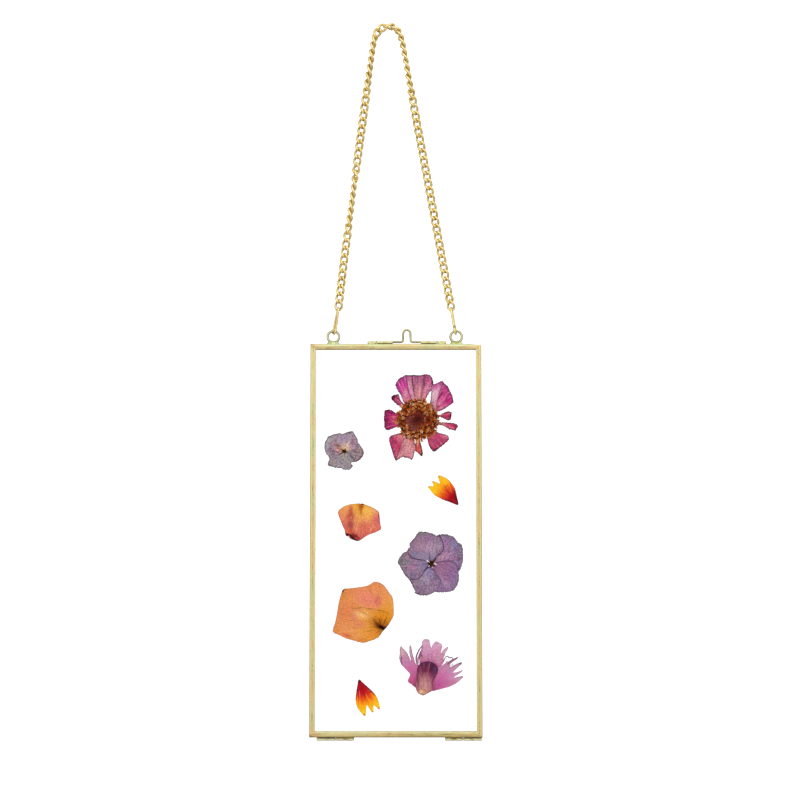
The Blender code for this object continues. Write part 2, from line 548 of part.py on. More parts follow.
def smooth_outline(outline):
    """Twice the given points, on a closed smooth curve through them."""
    corners = [Vector(point) * MM for point in outline]
    count = len(corners)
    points = []
    for index, corner in enumerate(corners):
        before = corners[index - 1]
        end = corners[(index + 1) % count]
        after = corners[(index + 2) % count]
        points.append(corner)
        points.append(spline_point(before, corner, end, after, 0.5))
    return points


def add_flat_piece(name, points, centre, front_y, thickness, material):
    """A thin solid with the given XZ outline, its front face at front_y."""
    bm = bmesh.new()
    face = bm.faces.new([bm.verts.new((point[0], 0.0, point[1])) for point in points])
    made = bmesh.ops.extrude_face_region(bm, geom=[face])
    moved = [item for item in made["geom"] if isinstance(item, bmesh.types.BMVert)]
    bmesh.ops.translate(bm, verts=moved, vec=(0.0, thickness, 0.0))
    place = Matrix.Translation((centre[0] * MM, SEAM_Y + front_y, centre[1] * MM))
    add_object(name, mesh_from_bmesh(name, bm), material, place)


def add_petals(pieces, centre, material):
    for name, (layer, outline) in pieces.items():
        thickness = HEART_THICKNESS if layer == "heart" else PETAL_THICKNESS
        points = smooth_outline(outline)
        add_flat_piece(name, points, centre, LAYER_Y[layer], thickness, material)


def star_outline(radius, rays):
    """A small star: long and short radii in turn."""
    points = []
    for step in range(2 * rays):
        angle = math.pi * step / rays + math.pi / 2
        reach = radius if step % 2 == 0 else radius * HEART_NOTCH
        points.append((reach * math.cos(angle), reach * math.sin(angle)))
    return points


def disc_outline():
    """The disc's edge, rippled by the outermost small florets."""
    points = []
    for step in range(DISC_POINTS):
        angle = 2 * math.pi * step / DISC_POINTS
        reach = DISC_RADIUS * (1 + DISC_RIPPLE_HEIGHT * math.sin(DISC_RIPPLES * angle))
        points.append((reach * math.cos(angle), reach * math.sin(angle)))
    return points


def add_flowers():
    pink = make_material("dried_pink_petal", "#B8487F", 0.7)
    brown = make_material("dried_disc_florets", "#8A4A1E", 0.85)
    lilac = make_material("dried_lilac_sepal", "#A596A6", 0.7)
    purple = make_material("dried_purple_sepal", "#8F6E96", 0.7)
    heart = make_material("dried_flower_heart", "#3A1F10", 0.85)
    rose = make_material("dried_rose_petal", "#DD8250", 0.7)
    ray = make_material("dried_ray_floret", "#E08A28", 0.7)
    fringe = make_material("dried_fringed_petal", "#C877A8", 0.7)
    calyx = make_material("dried_calyx", "#8A4860", 0.8)

    add_petals(ZINNIA_PETALS, ZINNIA_CENTRE, pink)
    add_flat_piece("zinnia_disc", disc_outline(), ZINNIA_CENTRE,
                   LAYER_Y["disc"], DISC_THICKNESS, brown)
    add_petals(LILAC_SEPALS, LILAC_CENTRE, lilac)
    add_flat_piece("lilac_heart", star_outline(LILAC_HEART_RADIUS, 4), LILAC_CENTRE,
                   LAYER_Y["heart"], HEART_THICKNESS, heart)
    add_petals(PURPLE_SEPALS, PURPLE_CENTRE, purple)
    add_flat_piece("purple_heart", star_outline(PURPLE_HEART_RADIUS, 5), PURPLE_CENTRE,
                   LAYER_Y["heart"], HEART_THICKNESS, heart)
    add_petals(UPPER_RAY, UPPER_RAY_BASE, ray)
    add_petals(LOWER_RAY, LOWER_RAY_BASE, ray)
    add_petals(SMALL_ROSE, SMALL_ROSE_CENTRE, rose)
    add_petals(LARGE_ROSE, LARGE_ROSE_CENTRE, rose)
    for name, piece in FRINGED_PIECES.items():
        finish = calyx if name == "fringed_calyx" else fringe
        add_petals({name: piece}, FRINGED_CENTRE, finish)


def main():
    clear_scene()
    brass = make_material("polished_brass", "#DCCB84", 0.25, metallic=1.0)
    chain_brass = make_material("chain_brass", "#E0A83C", 0.22, metallic=1.0)
    steel = make_material("hinge_pin_wire", "#B9B08A", 0.35, metallic=1.0)
    glass = make_material("clear_glass", "#FFFFFF", 0.02, transmission=1.0)

    add_leaf("back", BACK_LEAF_Y, brass, glass)
    add_leaf("front", FRONT_LEAF_Y, brass, glass)
    add_hinges(brass, steel)
    add_latch(brass)
    add_rings_and_links(brass, chain_brass)
    add_wire("chain", chain_points(), CHAIN_RADIUS, chain_brass)
    add_flowers()


main()
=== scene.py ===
"""Looks of the pressed flower frame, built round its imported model. Metres, +Z up, front to -Y."""

import math
import random

import bpy
import numpy as np
from mathutils import Matrix, Vector
from mathutils.geometry import delaunay_2d_cdt


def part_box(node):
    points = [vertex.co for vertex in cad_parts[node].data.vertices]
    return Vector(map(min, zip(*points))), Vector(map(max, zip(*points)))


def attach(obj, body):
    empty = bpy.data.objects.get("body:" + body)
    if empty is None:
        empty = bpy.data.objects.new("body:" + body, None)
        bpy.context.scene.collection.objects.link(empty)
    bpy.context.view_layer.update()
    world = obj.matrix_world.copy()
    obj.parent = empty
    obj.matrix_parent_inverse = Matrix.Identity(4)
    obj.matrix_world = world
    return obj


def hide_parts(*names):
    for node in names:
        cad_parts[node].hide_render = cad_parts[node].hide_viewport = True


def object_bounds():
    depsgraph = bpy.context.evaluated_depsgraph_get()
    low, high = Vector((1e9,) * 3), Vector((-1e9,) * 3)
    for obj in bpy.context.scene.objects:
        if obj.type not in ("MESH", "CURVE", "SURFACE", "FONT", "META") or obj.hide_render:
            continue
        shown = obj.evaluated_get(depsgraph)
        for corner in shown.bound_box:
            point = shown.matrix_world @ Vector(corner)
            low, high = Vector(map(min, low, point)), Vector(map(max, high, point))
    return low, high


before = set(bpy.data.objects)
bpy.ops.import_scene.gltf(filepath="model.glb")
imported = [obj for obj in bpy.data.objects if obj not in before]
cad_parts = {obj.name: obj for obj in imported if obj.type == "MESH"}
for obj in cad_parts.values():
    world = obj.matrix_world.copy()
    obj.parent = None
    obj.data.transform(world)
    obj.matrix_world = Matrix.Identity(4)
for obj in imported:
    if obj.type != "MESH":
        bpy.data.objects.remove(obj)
cad_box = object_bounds()
MM = 0.001

# ---------------------------------------------------------------------------------------
# The view: a plain white studio. The frame hangs free of the wall, and is seen from a
# metre away, head on and from four degrees below its middle.

EYE_DISTANCE = 1017.8 * MM
EYE_BELOW = math.radians(4.0)
VIEW_ANGLE = math.radians(25.93)
LOOKED_AT = Vector((6.4, 0.0, -220.8)) * MM

camera = bpy.data.objects.new("camera", bpy.data.cameras.new("camera"))
camera.data.angle = VIEW_ANGLE
camera.location = LOOKED_AT - EYE_DISTANCE * Vector((0, math.cos(EYE_BELOW), math.sin(EYE_BELOW)))
camera.rotation_euler = (math.pi / 2 + EYE_BELOW, 0, 0)
bpy.context.scene.collection.objects.link(camera)
bpy.context.scene.camera = camera
bpy.context.scene.view_settings.view_transform = "Standard"


def linear(code):
    """Linear RGBA from an sRGB hex colour."""
    channels = []
    for start in (1, 3, 5):
        value = int(code[start:start + 2], 16) / 255
        channels.append(value / 12.92 if value <= 0.04045 else ((value + 0.055) / 1.055) ** 2.4)
    return (*channels, 1.0)


def set_inputs(tree, made, inputs):
    """Give a node's inputs their values; where a value is another node's output, link it."""
    for socket, value in inputs.items():
        if isinstance(value, bpy.types.NodeSocket):
            tree.links.new(value, made.inputs[socket])
        else:
            made.inputs[socket].default_value = value


def add_node(tree, kind, inputs=None, stops=(), **settings):
    """One shader node of a kind, such as Math, with its inputs, settings and ramp's stops."""
    made = tree.nodes.new("ShaderNode" + kind)
    for name, value in settings.items():
        setattr(made, name, value)
    set_inputs(tree, made, inputs or {})
    while stops and len(made.color_ramp.elements) < len(stops):
        made.color_ramp.elements.new(0.5)
    for index, (place, colour) in enumerate(stops):
        element = made.color_ramp.elements[index]
        element.position = place
        element.color = linear(colour) if isinstance(colour, str) else (colour,) * 3 + (1.0,)
    return made


# Soft light comes from all round: brightest overhead, dim and warm from the floor.
# Polished things see a harder studio: it is bright in front, has a strip light over the
# camera, and is dark below, at both sides and behind, so wire is drawn with dark edges.
# A small dark card behind the camera keeps the panes free of glare.
WALL = "#FFFFFF"
WALL_GLOW = 1.35
OVERHEAD = 3.25
LEVEL = 2.4
FLOOR_GLOW = 0.95
METAL_FRONT = 1.14
METAL_EDGE = 0.4
METAL_BEHIND = 0.12
FLOOR_SHADE = 0.5
CARD_SHADE = 0.02
CARD_HALF_WIDTH = math.sin(math.radians(5.0))
CARD_HALF_HEIGHT = math.sin(math.radians(9.5))

world = bpy.data.worlds.new("white_studio")
world.use_nodes = True
bpy.context.scene.world = world
sky = world.node_tree
sky.nodes.clear()
direction = add_node(sky, "TexCoord").outputs["Generated"]
axes = add_node(sky, "SeparateXYZ", {0: direction})
height = add_node(sky, "MapRange", {0: axes.outputs[2], 1: -1.0, 2: 1.0}).outputs[0]
away = add_node(sky, "MapRange", {0: axes.outputs[1], 1: -1.0, 2: 1.0}).outputs[0]
light = add_node(sky, "ValToRGB", {0: height}, (
    (0.0, FLOOR_GLOW), (0.34, FLOOR_GLOW), (0.5, LEVEL), (0.7, OVERHEAD))).outputs[0]
facing = add_node(sky, "ValToRGB", {0: away}, (
    (0.0, METAL_FRONT), (0.1, METAL_FRONT * 0.95), (0.3, METAL_EDGE),
    (0.6, METAL_BEHIND))).outputs[0]
rise = add_node(sky, "ValToRGB", {0: height}, (
    (0.1, 0.4), (0.36, 0.62), (0.43, 0.95), (0.56, 1.06), (0.66, 1.25), (0.78, 1.2),
    (0.92, 1.7))).outputs[0]
metal_light = add_node(sky, "Math", {0: facing, 1: rise}, operation="MULTIPLY").outputs[0]
on_card = add_node(sky, "VectorMath", {
    0: direction, 1: (1 / CARD_HALF_WIDTH, 0.0, 1 / CARD_HALF_HEIGHT)}, operation="MULTIPLY")
from_card = add_node(sky, "VectorMath", {0: on_card.outputs[0]}, operation="LENGTH")
card = add_node(sky, "MapRange", {
    0: from_card.outputs["Value"], 1: 0.9, 2: 1.4, 3: CARD_SHADE, 4: 1.0},
    interpolation_type="SMOOTHSTEP").outputs[0]
behind_camera = add_node(sky, "Math", {0: axes.outputs[1], 1: 0.0}, operation="LESS_THAN").outputs[0]
shade = add_node(sky, "Mix", {0: behind_camera, 2: 1.0, 3: card}).outputs[0]
ray = add_node(sky, "LightPath").outputs
mirrored = add_node(sky, "Math", {0: ray["Glossy Depth"], 1: 0.5}, operation="GREATER_THAN").outputs[0]
chosen = add_node(sky, "Mix", {0: mirrored, 2: light, 3: metal_light}).outputs[0]
off_floor = add_node(sky, "Math", {0: ray["Diffuse Depth"], 1: mirrored}, operation="MULTIPLY").outputs[0]
floor_shade = add_node(sky, "MapRange", {0: off_floor, 1: 0.0, 2: 1.0, 3: 1.0, 4: FLOOR_SHADE}).outputs[0]
shaded = add_node(sky, "Math", {0: shade, 1: floor_shade}, operation="MULTIPLY").outputs[0]
strength = add_node(sky, "Math", {0: chosen, 1: shaded}, operation="MULTIPLY").outputs[0]
warmth = add_node(sky, "ValToRGB", {0: height}, (
    (0.3, "#FFDFBC"), (0.5, "#FFFCF4"), (0.72, "#EEF6F0"))).outputs[0]
studio = add_node(sky, "Background", {0: warmth, 1: strength}).outputs[0]
# The bare wall shows straight on and through the panes; whatever it lights sees the studio.
wall = add_node(sky, "Background", {0: linear(WALL), 1: WALL_GLOW}).outputs[0]
bounces = add_node(sky, "Math", {
    0: ray["Diffuse Depth"], 1: ray["Glossy Depth"]}, operation="ADD").outputs[0]
unlit = add_node(sky, "Math", {0: bounces, 1: 0.5}, operation="LESS_THAN").outputs[0]
through = add_node(sky, "Math", {
    0: ray["Is Transmission Ray"], 1: unlit}, operation="MULTIPLY").outputs[0]
seen = add_node(sky, "Math", {0: ray["Is Camera Ray"], 1: through}, operation="MAXIMUM").outputs[0]
mixed = add_node(sky, "MixShader", {0: seen, 1: studio, 2: wall}).outputs[0]
add_node(sky, "OutputWorld", {0: mixed})


def add_mesh(name, vertices, faces, *materials, second_from=None, sharp=None):
    """A smooth-shaded mesh object; its edges past so many degrees, if any, are sharp.

    Its faces from second_from on have the second of its materials."""
    mesh = bpy.data.meshes.new(name)
    mesh.from_pydata([tuple(vertex) for vertex in vertices], [], [tuple(face) for face in faces])
    for material in materials:
        mesh.materials.append(material)
    mesh.shade_smooth()
    if sharp is not None:
        mesh.set_sharp_from_angle(angle=math.radians(sharp))
    if second_from is not None:
        for face in mesh.polygons[second_from:]:
            face.material_index = 1
    made = bpy.data.objects.new(name, mesh)
    bpy.context.scene.collection.objects.link(made)
    return made


def new_material(name):
    """A new material and its node tree."""
    made = bpy.data.materials.new(name)
    made.use_nodes = True
    return made, made.node_tree


def set_shader(tree, inputs):
    """Give a material's own shader its inputs."""
    set_inputs(tree, tree.nodes["Principled BSDF"], inputs)


FLOOR_DROP = 900 * MM
FLOOR_REACH = 1.5

pale_floor, tree = new_material("pale_floor_paint")
set_shader(tree, {"Base Color": linear("#FAFAF8"), "Roughness": 0.9})
floor_z = cad_box[0].z - FLOOR_DROP
corners = ((-1, -1), (1, -1), (1, 1), (-1, 1))
floor = add_mesh("floor", [(x * FLOOR_REACH, y * FLOOR_REACH, floor_z) for x, y in corners],
                 [(0, 1, 2, 3)], pale_floor)

# ---------------------------------------------------------------------------------------
# Chain: a flat-twisted curb chain of yellow brass wire, hung over its hook at the origin.
# Each link is an oval ring turned a quarter turn along its length, so that it lies at
# right angles to its neighbour where the two meet.

CHAIN_ROUTE = (
    (-29.7, -165.4), (-26.9, -141.0), (-23.4, -114.0), (-19.9, -87.0),
    (-16.5, -61.0), (-13.2, -36.0), (-10.9, -18.9), (-9.6, -9.6),
    (-8.2, -3.6), (-5.9, 0.1), (-3.0, 1.8), (0.2, 2.1),
    (3.6, 1.1), (6.0, -1.9), (7.5, -6.7), (9.3, -16.0),
    (12.5, -34.3), (17.3, -61.2), (22.2, -88.0), (27.1, -115.0),
    (31.9, -141.5), (36.3, -165.4),
)
CHAIN_WIRE = 1.5 * MM
CHAIN_WIDTH = 5.2 * MM
CHAIN_LINKS = 77
LINK_TURN = math.radians(-90.0)
LINK_SQUARENESS = 2.6
LINK_POINTS = 40
WIRE_SIDES = 12
END_REACH = 2.5 * MM
# The whole chain turns slowly on itself: how far along it, and how far it has turned.
CHAIN_TURNS = ((0, -12), (36, -4), (48, 75), (72, 92), (84, 168), (120, 184), (132, 250), (150, 262),
               (158, 258), (164, 196), (167, 196), (172, 256), (212, 282), (226, 352),
               (325, 366), (338, 380), (350, 400))


def smooth_path(route, step=1.0 * MM):
    """Points a step apart on the smooth curve through a route's own points."""
    points = [Vector(point) for point in route]
    fine = []
    for index in range(len(points) - 1):
        before = points[max(index - 1, 0)]
        start, end = points[index], points[index + 1]
        after = points[min(index + 2, len(points) - 1)]
        count = max(2, math.ceil((end - start).length / step))
        for part in range(count):
            t = part / count
            fine.append(0.5 * (2 * start + (end - before) * t
                               + (2 * before - 5 * start + 4 * end - after) * t ** 2
                               + (3 * start - before - 3 * end + after) * t ** 3))
    fine.append(points[-1])
    return fine


def skin(rows, sides, closed=False, flipped=False):
    """Faces over rows of points, each row a ring of that many, with an end at either side.

    If closed, the last row joins the first. Flipped faces turn the other way."""
    faces = []
    for row in range(rows if closed else rows - 1):
        here, there = row * sides, (row + 1) % rows * sides
        for side in range(sides):
            after = (side + 1) % sides
            quad = (here + side, here + after, there + after, there + side)
            faces.append((quad[0], quad[3], quad[2], quad[1]) if flipped else quad)
    if not closed:
        start, end = tuple(range(sides)), tuple((rows - 1) * sides + side for side in range(sides))
        faces += [start, end[::-1]] if flipped else [start[::-1], end]
    return faces


def wire_along(points, radius, sides=WIRE_SIDES, closed=False):
    """Vertices and faces of round wire along the points; the radius is one or one a point."""
    path = np.array([tuple(point) for point in points], float)
    count = len(path)
    radii = np.full(count, radius) if np.isscalar(radius) else np.asarray(radius, float)
    if closed:
        tangents = np.roll(path, -1, 0) - np.roll(path, 1, 0)
    else:
        tangents = np.gradient(path, axis=0)
    tangents /= np.linalg.norm(tangents, axis=1)[:, None]
    normal = np.cross(tangents[0], (0.31, 0.91, 0.27))
    normals = []
    for tangent in tangents:
        normal = normal - tangent * (normal @ tangent)
        normal = normal / np.linalg.norm(normal)
        normals.append(normal)
    normals = np.array(normals)
    others = np.cross(tangents, normals)
    if closed:
        last = normals[-1] - tangents[0] * (normals[-1] @ tangents[0])
        slip = math.atan2(last @ others[0], last @ normals[0])
        angles = -slip * np.arange(count) / count
        turned = normals * np.cos(angles)[:, None] + others * np.sin(angles)[:, None]
        others = np.cross(tangents, turned)
        normals = turned
    around = 2 * math.pi * np.arange(sides) / sides
    rings = (path[:, None] + radii[:, None, None] * (
        np.cos(around)[None, :, None] * normals[:, None] + np.sin(around)[None, :, None] * others[:, None]))
    return rings.reshape(-1, 3), skin(count, sides, closed)


def join_parts(parts):
    """One list of vertices and one of faces from several."""
    vertices, faces = [], []
    for part_vertices, part_faces in parts:
        offset = len(vertices)
        vertices.extend(tuple(vertex) for vertex in part_vertices)
        faces.extend(tuple(index + offset for index in face) for face in part_faces)
    return vertices, faces


route = smooth_path([(x * MM, 0.0, z * MM) for x, z in CHAIN_ROUTE])
route_lengths = np.concatenate([[0.0], np.cumsum([(b - a).length for a, b in zip(route, route[1:])])])
chain_length = float(route_lengths[-1])


def route_point(distance):
    """The point that far along the chain's route, which runs on straight past both ends."""
    if distance < 0:
        return route[0] + (route[0] - route[1]).normalized() * -distance
    if distance > chain_length:
        return route[-1] + (route[-1] - route[-2]).normalized() * (distance - chain_length)
    index = min(int(np.searchsorted(route_lengths, distance, side="right")) - 1, len(route) - 2)
    share = (distance - route_lengths[index]) / (route_lengths[index + 1] - route_lengths[index])
    return route[index].lerp(route[index + 1], share)


# The two end links' wire centres lie END_REACH past the route's ends, inside the long links.
link_pitch = (chain_length + 2 * END_REACH - CHAIN_WIRE) / CHAIN_LINKS
half_length = (link_pitch + CHAIN_WIRE) / 2
half_width = (CHAIN_WIDTH - CHAIN_WIRE) / 2
link_parts = []
for number in range(CHAIN_LINKS):
    from_start = -END_REACH + CHAIN_WIRE / 2 + number * link_pitch
    start, end = route_point(from_start), route_point(from_start + link_pitch)
    centre = (start + end) / 2
    along = (end - start).normalized()
    level = Vector((0, 1, 0)).cross(along)
    turn = math.radians(float(np.interp(from_start / MM, *zip(*CHAIN_TURNS))))
    ring = []
    for step in range(LINK_POINTS):
        angle = 2 * math.pi * step / LINK_POINTS
        c, s = math.cos(angle), math.sin(angle)
        ahead = half_length * math.copysign(abs(c) ** (2 / LINK_SQUARENESS), c)
        out = half_width * math.copysign(abs(s) ** (2 / LINK_SQUARENESS), s)
        lean = turn + LINK_TURN * ahead / link_pitch
        ring.append(centre + along * ahead
                    + out * (math.cos(lean) * level + math.sin(lean) * Vector((0, 1, 0))))
    link_parts.append(wire_along(ring, CHAIN_WIRE / 2, closed=True))


# A mark, stain and painted shade alike, keeps its full colour over the first of these shares of its size,
# and ends at the second.
MARK_CORE, MARK_EDGE = 0.25, 1.35


def lay(tree, under, over, share):
    """One colour laid over another; over is a hex colour, and share a value or an output."""
    mixed = add_node(tree, "Mix", {0: share, 6: under, 7: linear(over)}, data_type="RGBA")
    return mixed.outputs[2]


def stained_and_shaded(tree, colour, place, noise, centre, stains_and_painted_light, wander=1.4):
    """Soft-edged marks laid on a colour, each a stain or a painted shade or highlight; a noise makes their
    edges wander by some millimetres.

    A stain is (x, z, half width, half height, tilt, colour, share), in millimetres from
    the centre and degrees anticlockwise."""
    drift = add_node(tree, "VectorMath", {0: noise.outputs["Color"], 1: (-0.5,) * 3},
                     operation="ADD")
    warped = add_node(tree, "VectorMath", {
        0: drift.outputs[0], 1: (wander * MM,) * 3, 2: place}, operation="MULTIPLY_ADD")
    for x, z, half_width, half_height, tilt, over, share in stains_and_painted_light:
        local = add_node(tree, "Mapping", {
            "Vector": warped.outputs[0], "Location": ((centre[0] + x) * MM, 0.0, (centre[1] + z) * MM),
            "Rotation": (0.0, math.radians(-tilt), 0.0), "Scale": (half_width * MM, 1.0, half_height * MM)},
            vector_type="TEXTURE")
        size = add_node(tree, "VectorMath", {0: local.outputs[0]}, operation="LENGTH")
        fade = add_node(tree, "MapRange", {
            0: size.outputs["Value"], 1: MARK_CORE, 2: MARK_EDGE, 3: share, 4: 0.0},
            interpolation_type="SMOOTHSTEP").outputs[0]
        colour = lay(tree, colour, over, fade)
    return colour


def metal_finish(name, hues, roughness, grain=(400.0, 400.0, 400.0), cloud=160.0, relief=0.12,
                 dull=0.04, stains_and_painted_light=()):
    """A polished metal that drifts between its hues in soft clouds, with fine scratches.

    The clouds number that many a metre, the scratches follow the grain, each stain or
    painted mark lies where it does in the whole object, and dull is the share of the surface
    that has tarnished."""
    material, tree = new_material(name)
    place = add_node(tree, "TexCoord").outputs["Object"]
    clouds = add_node(tree, "TexNoise", {"Vector": place, "Scale": cloud, "Detail": 3.0})
    patina = add_node(tree, "ValToRGB", {0: clouds.outputs[0]}, tuple(
        zip((0.36, 0.5, 0.64), hues.split()))).outputs[0]
    stretched = add_node(tree, "Mapping", {"Vector": place, "Scale": grain})
    scratches = add_node(tree, "TexNoise", {
        "Vector": stretched.outputs[0], "Scale": 1.0, "Detail": 3.0, "Roughness": 0.65})
    set_shader(tree, {
        "Base Color": stained_and_shaded(tree, patina, place, scratches, (0.0, 0.0), stains_and_painted_light, wander=0.8),
        "Roughness": add_node(tree, "MapRange", {
            0: scratches.outputs[0], 1: 0.3, 2: 0.7, 3: roughness * 0.75, 4: roughness * 1.3}).outputs[0],
        "Normal": add_node(tree, "Bump", {
            "Height": scratches.outputs[0], "Strength": relief, "Distance": 0.03 * MM}).outputs[0],
        "Metallic": 1 - dull})
    return material


chain_brass = metal_finish(
    "yellow_brass_chain_wire", "#EACC84 #F6DE98 #F0D8A4", 0.17, relief=0.06, dull=0.22, stains_and_painted_light=(
        # Painted light: the left long link is tinted pinkish and the right one paler grey-green, for how
        # each catches the light. A small dark olive spot lies at (38.3, -177.9).
        (-31.3, -173.0, 2.0, 8.5, 10, "#CCA884", 0.65), (37.8, -173.0, 2.0, 8.5, -10, "#DCD8A6", 0.5),
        (38.3, -177.9, 1.2, 0.9, 0, "#6E6428", 0.8)))
curb_chain = add_mesh("curb_chain", *join_parts(link_parts), chain_brass)

# Each end of the chain hangs on a long oval link of thinner wire, passed through the
# frame's eye ring. The link stands nearly edge on, since the ring faces the front, and
# is a little twisted: by so many degrees at its foot, and at its top.
LINK_WIRE = 1.3 * MM
LINK_HALF_WIDTHS = {"left": 1.6 * MM, "right": 1.85 * MM}
LINK_LENGTH = 15.5 * MM
LINK_LEAN = {"left": math.radians(9.5), "right": math.radians(-9.7)}
LINK_TWIST = {"left": (36.0, 10.0), "right": (-11.0, -11.0)}
LINK_SIDES = 16
LINK_ARC_POINTS = 17
LINK_LEG_POINTS = 14
CONTACT_GAP = 0.15 * MM
RING_WIRE = 1.5 * MM


def arc(centre, radius, start, end, count):
    """Points on an arc in the XZ plane, with its angles in degrees from +X."""
    points = []
    for angle in np.radians(np.linspace(start, end, count)):
        points.append(Vector((
            centre[0] + radius * math.cos(angle), 0.0, centre[1] + radius * math.sin(angle))))
    return points


for side_name in ("left", "right"):
    low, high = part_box(f"eye_ring_{side_name}")
    ring_centre = (low + high) / 2
    ring_radius = (high.x - low.x - RING_WIRE) / 2
    reach = ring_radius - RING_WIRE / 2 - LINK_WIRE / 2 - CONTACT_GAP
    half_width = LINK_HALF_WIDTHS[side_name]
    lowest, highest = reach + half_width, reach + LINK_LENGTH - half_width
    heights = np.linspace(lowest, highest, LINK_LEG_POINTS)[1:-1]
    outline = arc((0.0, lowest), half_width, 180, 360, LINK_ARC_POINTS)
    outline += [Vector((half_width, 0.0, height)) for height in heights]
    outline += arc((0.0, highest), half_width, 0, 180, LINK_ARC_POINTS)
    outline += [Vector((-half_width, 0.0, height)) for height in heights[::-1]]
    place = Matrix.Translation(ring_centre) @ Matrix.Rotation(LINK_LEAN[side_name], 4, "Y")
    twisted = []
    for point in outline:
        angle = math.radians(90 + float(np.interp(point.z / LINK_LENGTH, (0, 1), LINK_TWIST[side_name])))
        twisted.append(place @ Vector((point.x * math.cos(angle), point.x * math.sin(angle), point.z)))
    parts = wire_along(twisted, LINK_WIRE / 2, LINK_SIDES, closed=True)
    long_link = add_mesh(f"long_link_{side_name}_wire", *parts, chain_brass)
    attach(long_link, "chain")
    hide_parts(f"long_link_{side_name}")

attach(curb_chain, "chain")
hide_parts("chain")

# ---------------------------------------------------------------------------------------
# Leaves: two equal frames of folded brass channel, each round one pane of 1.8 mm glass.
# The channel is polished and bright, mitred at its corners, and closed with soft solder,
# which leaves brown smudges on the brass next to it. A dark line of painted shade runs
# along the bottom rail's lower edge.

RAIL_WIDTH = 3.1 * MM
RAIL_DEPTH = 3.2 * MM
RAIL_WALL = 0.4 * MM
RAIL_CORNER = 0.75 * MM
RAIL_LIP = 0.06 * MM
RAIL_TURN = 0.14 * MM
LIP_EDGE = 0.35 * MM
LIP_FOOT = 0.58 * MM
LIP_SLOPE = 0.5 * MM
RAIL_CROWN = 0.13 * MM
FILED_LENGTH = 10.0 * MM
FILED_DROP = 0.5 * MM
FILED_RADIUS = 0.9 * MM
MITRE_GAP = 0.015 * MM
CROWN_STEPS = 8
ROUND_STEPS = 5
RAIL_STEP = 4.0 * MM
SHARP_BEND = 50


def channel_section():
    """The channel's outline in (inward, depth), rounded outside and crowned on both faces."""
    points = []
    crown_end = RAIL_CROWN * ((RAIL_WIDTH / 2 - RAIL_CORNER) / (RAIL_WIDTH / 2)) ** 2
    for step in range(CROWN_STEPS + 1):
        inward = RAIL_WIDTH - RAIL_LIP - (RAIL_WIDTH - RAIL_LIP - RAIL_CORNER) * step / CROWN_STEPS
        middle = (inward - RAIL_WIDTH / 2) / (RAIL_WIDTH / 2)
        points.append((inward, RAIL_CROWN * middle ** 2))
    for step in range(1, ROUND_STEPS):
        angle = math.pi / 2 * step / ROUND_STEPS
        points.append((RAIL_CORNER * (1 - math.sin(angle)),
                       crown_end * math.cos(angle) + RAIL_CORNER * (1 - math.cos(angle))))
    points.append((0.0, RAIL_CORNER))
    points.append((0.0, RAIL_DEPTH / 2))
    back = [(inward, RAIL_DEPTH - depth) for inward, depth in reversed(points[:-1])]
    # Both lips are pressed in against the glass, so their inner sides slope towards it.
    lip = [(RAIL_WIDTH, RAIL_TURN), (RAIL_WIDTH, LIP_EDGE),
           (RAIL_WIDTH - LIP_SLOPE, LIP_FOOT), (RAIL_WALL, LIP_FOOT)]
    return points + back + [(inward, RAIL_DEPTH - depth) for inward, depth in lip] + lip[::-1]


def channel(length):
    """Vertices and faces of a channel along +X that opens to +Z, mitred at both ends."""
    section = channel_section()
    spans = max(2, round(length / RAIL_STEP))
    vertices = []
    for span in range(spans + 1):
        share = (1 - math.cos(math.pi * span / spans)) / 2
        for inward, depth in section:
            start, end = inward + MITRE_GAP, length - inward - MITRE_GAP
            vertices.append((start + (end - start) * share, depth, inward))
    return vertices, skin(spans + 1, len(section), flipped=True)


CHANNEL_HUES = "#D6D3A2 #DFD29E #E2CD98"
low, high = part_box("back_rail_left")
frame_left, frame_bottom, frame_top = low.x, low.z, high.z
frame_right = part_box("back_rail_right")[1].x
level_brass = metal_finish(
    "polished_brass_channel_level", CHANNEL_HUES, 0.3, (120.0, 900.0, 900.0), 70.0, 0.05, 0.02, (
        (-45.2, -188.8, 2.2, 1.8, 0, "#C08A48", 0.5), (-45.2, -415.8, 2.0, 1.2, 0, "#8A5A24", 0.8),
        (-43.6, -414.4, 2.4, 2.0, 0, "#DDB084", 0.5), (52.6, -189.4, 2.0, 2.0, 0, "#F4C87C", 0.6),
        (51.8, -413.8, 2.6, 1.2, 0, "#DCE0A0", 0.6), (-32.2, -189.0, 7.5, 0.9, -3, "#DDE4B8", 0.8),
        (39.6, -189.0, 7.5, 0.9, 3, "#DDE4B8", 0.8), (-35.5, -190.6, 2.0, 0.35, 0, "#8A7A3A", 0.7),
        (-8.0, -188.9, 5.0, 0.8, 0, "#D4E0B0", 0.6), (-17.5, -189.8, 5.0, 1.2, 0, "#DDBE88", 0.5),
        # The long dark line at (4.0, -416.0) along the bottom rail's lower edge is painted shade; the broad
        # olive tint at (26.0, -414.6) lies over the bottom rail's right half.
        (14.0, -188.9, 8.0, 0.9, 0, "#EECB9C", 0.5), (4.0, -416.0, 62.0, 0.65, 0, "#74582E", 0.85),
        (26.0, -414.6, 30.0, 1.7, 0, "#C2AC6C", 0.45),
        (-22.4, -415.6, 3.6, 0.9, 0, "#DCC888", 0.7), (39.0, -415.3, 2.6, 0.5, 0, "#F0DC9C", 0.7),
        (39.2, -416.1, 2.6, 0.45, 0, "#A07818", 0.9)))
upright_brass = metal_finish(
    "polished_brass_channel_upright", CHANNEL_HUES, 0.3, (900.0, 900.0, 120.0), 70.0, 0.05, 0.02, (
        (-45.2, -188.8, 2.0, 2.2, 0, "#C08A48", 0.5), (-45.4, -415.2, 1.6, 1.4, 0, "#8A5A24", 0.7),
        (52.8, -190.0, 1.8, 2.2, 0, "#F4D488", 0.5)))


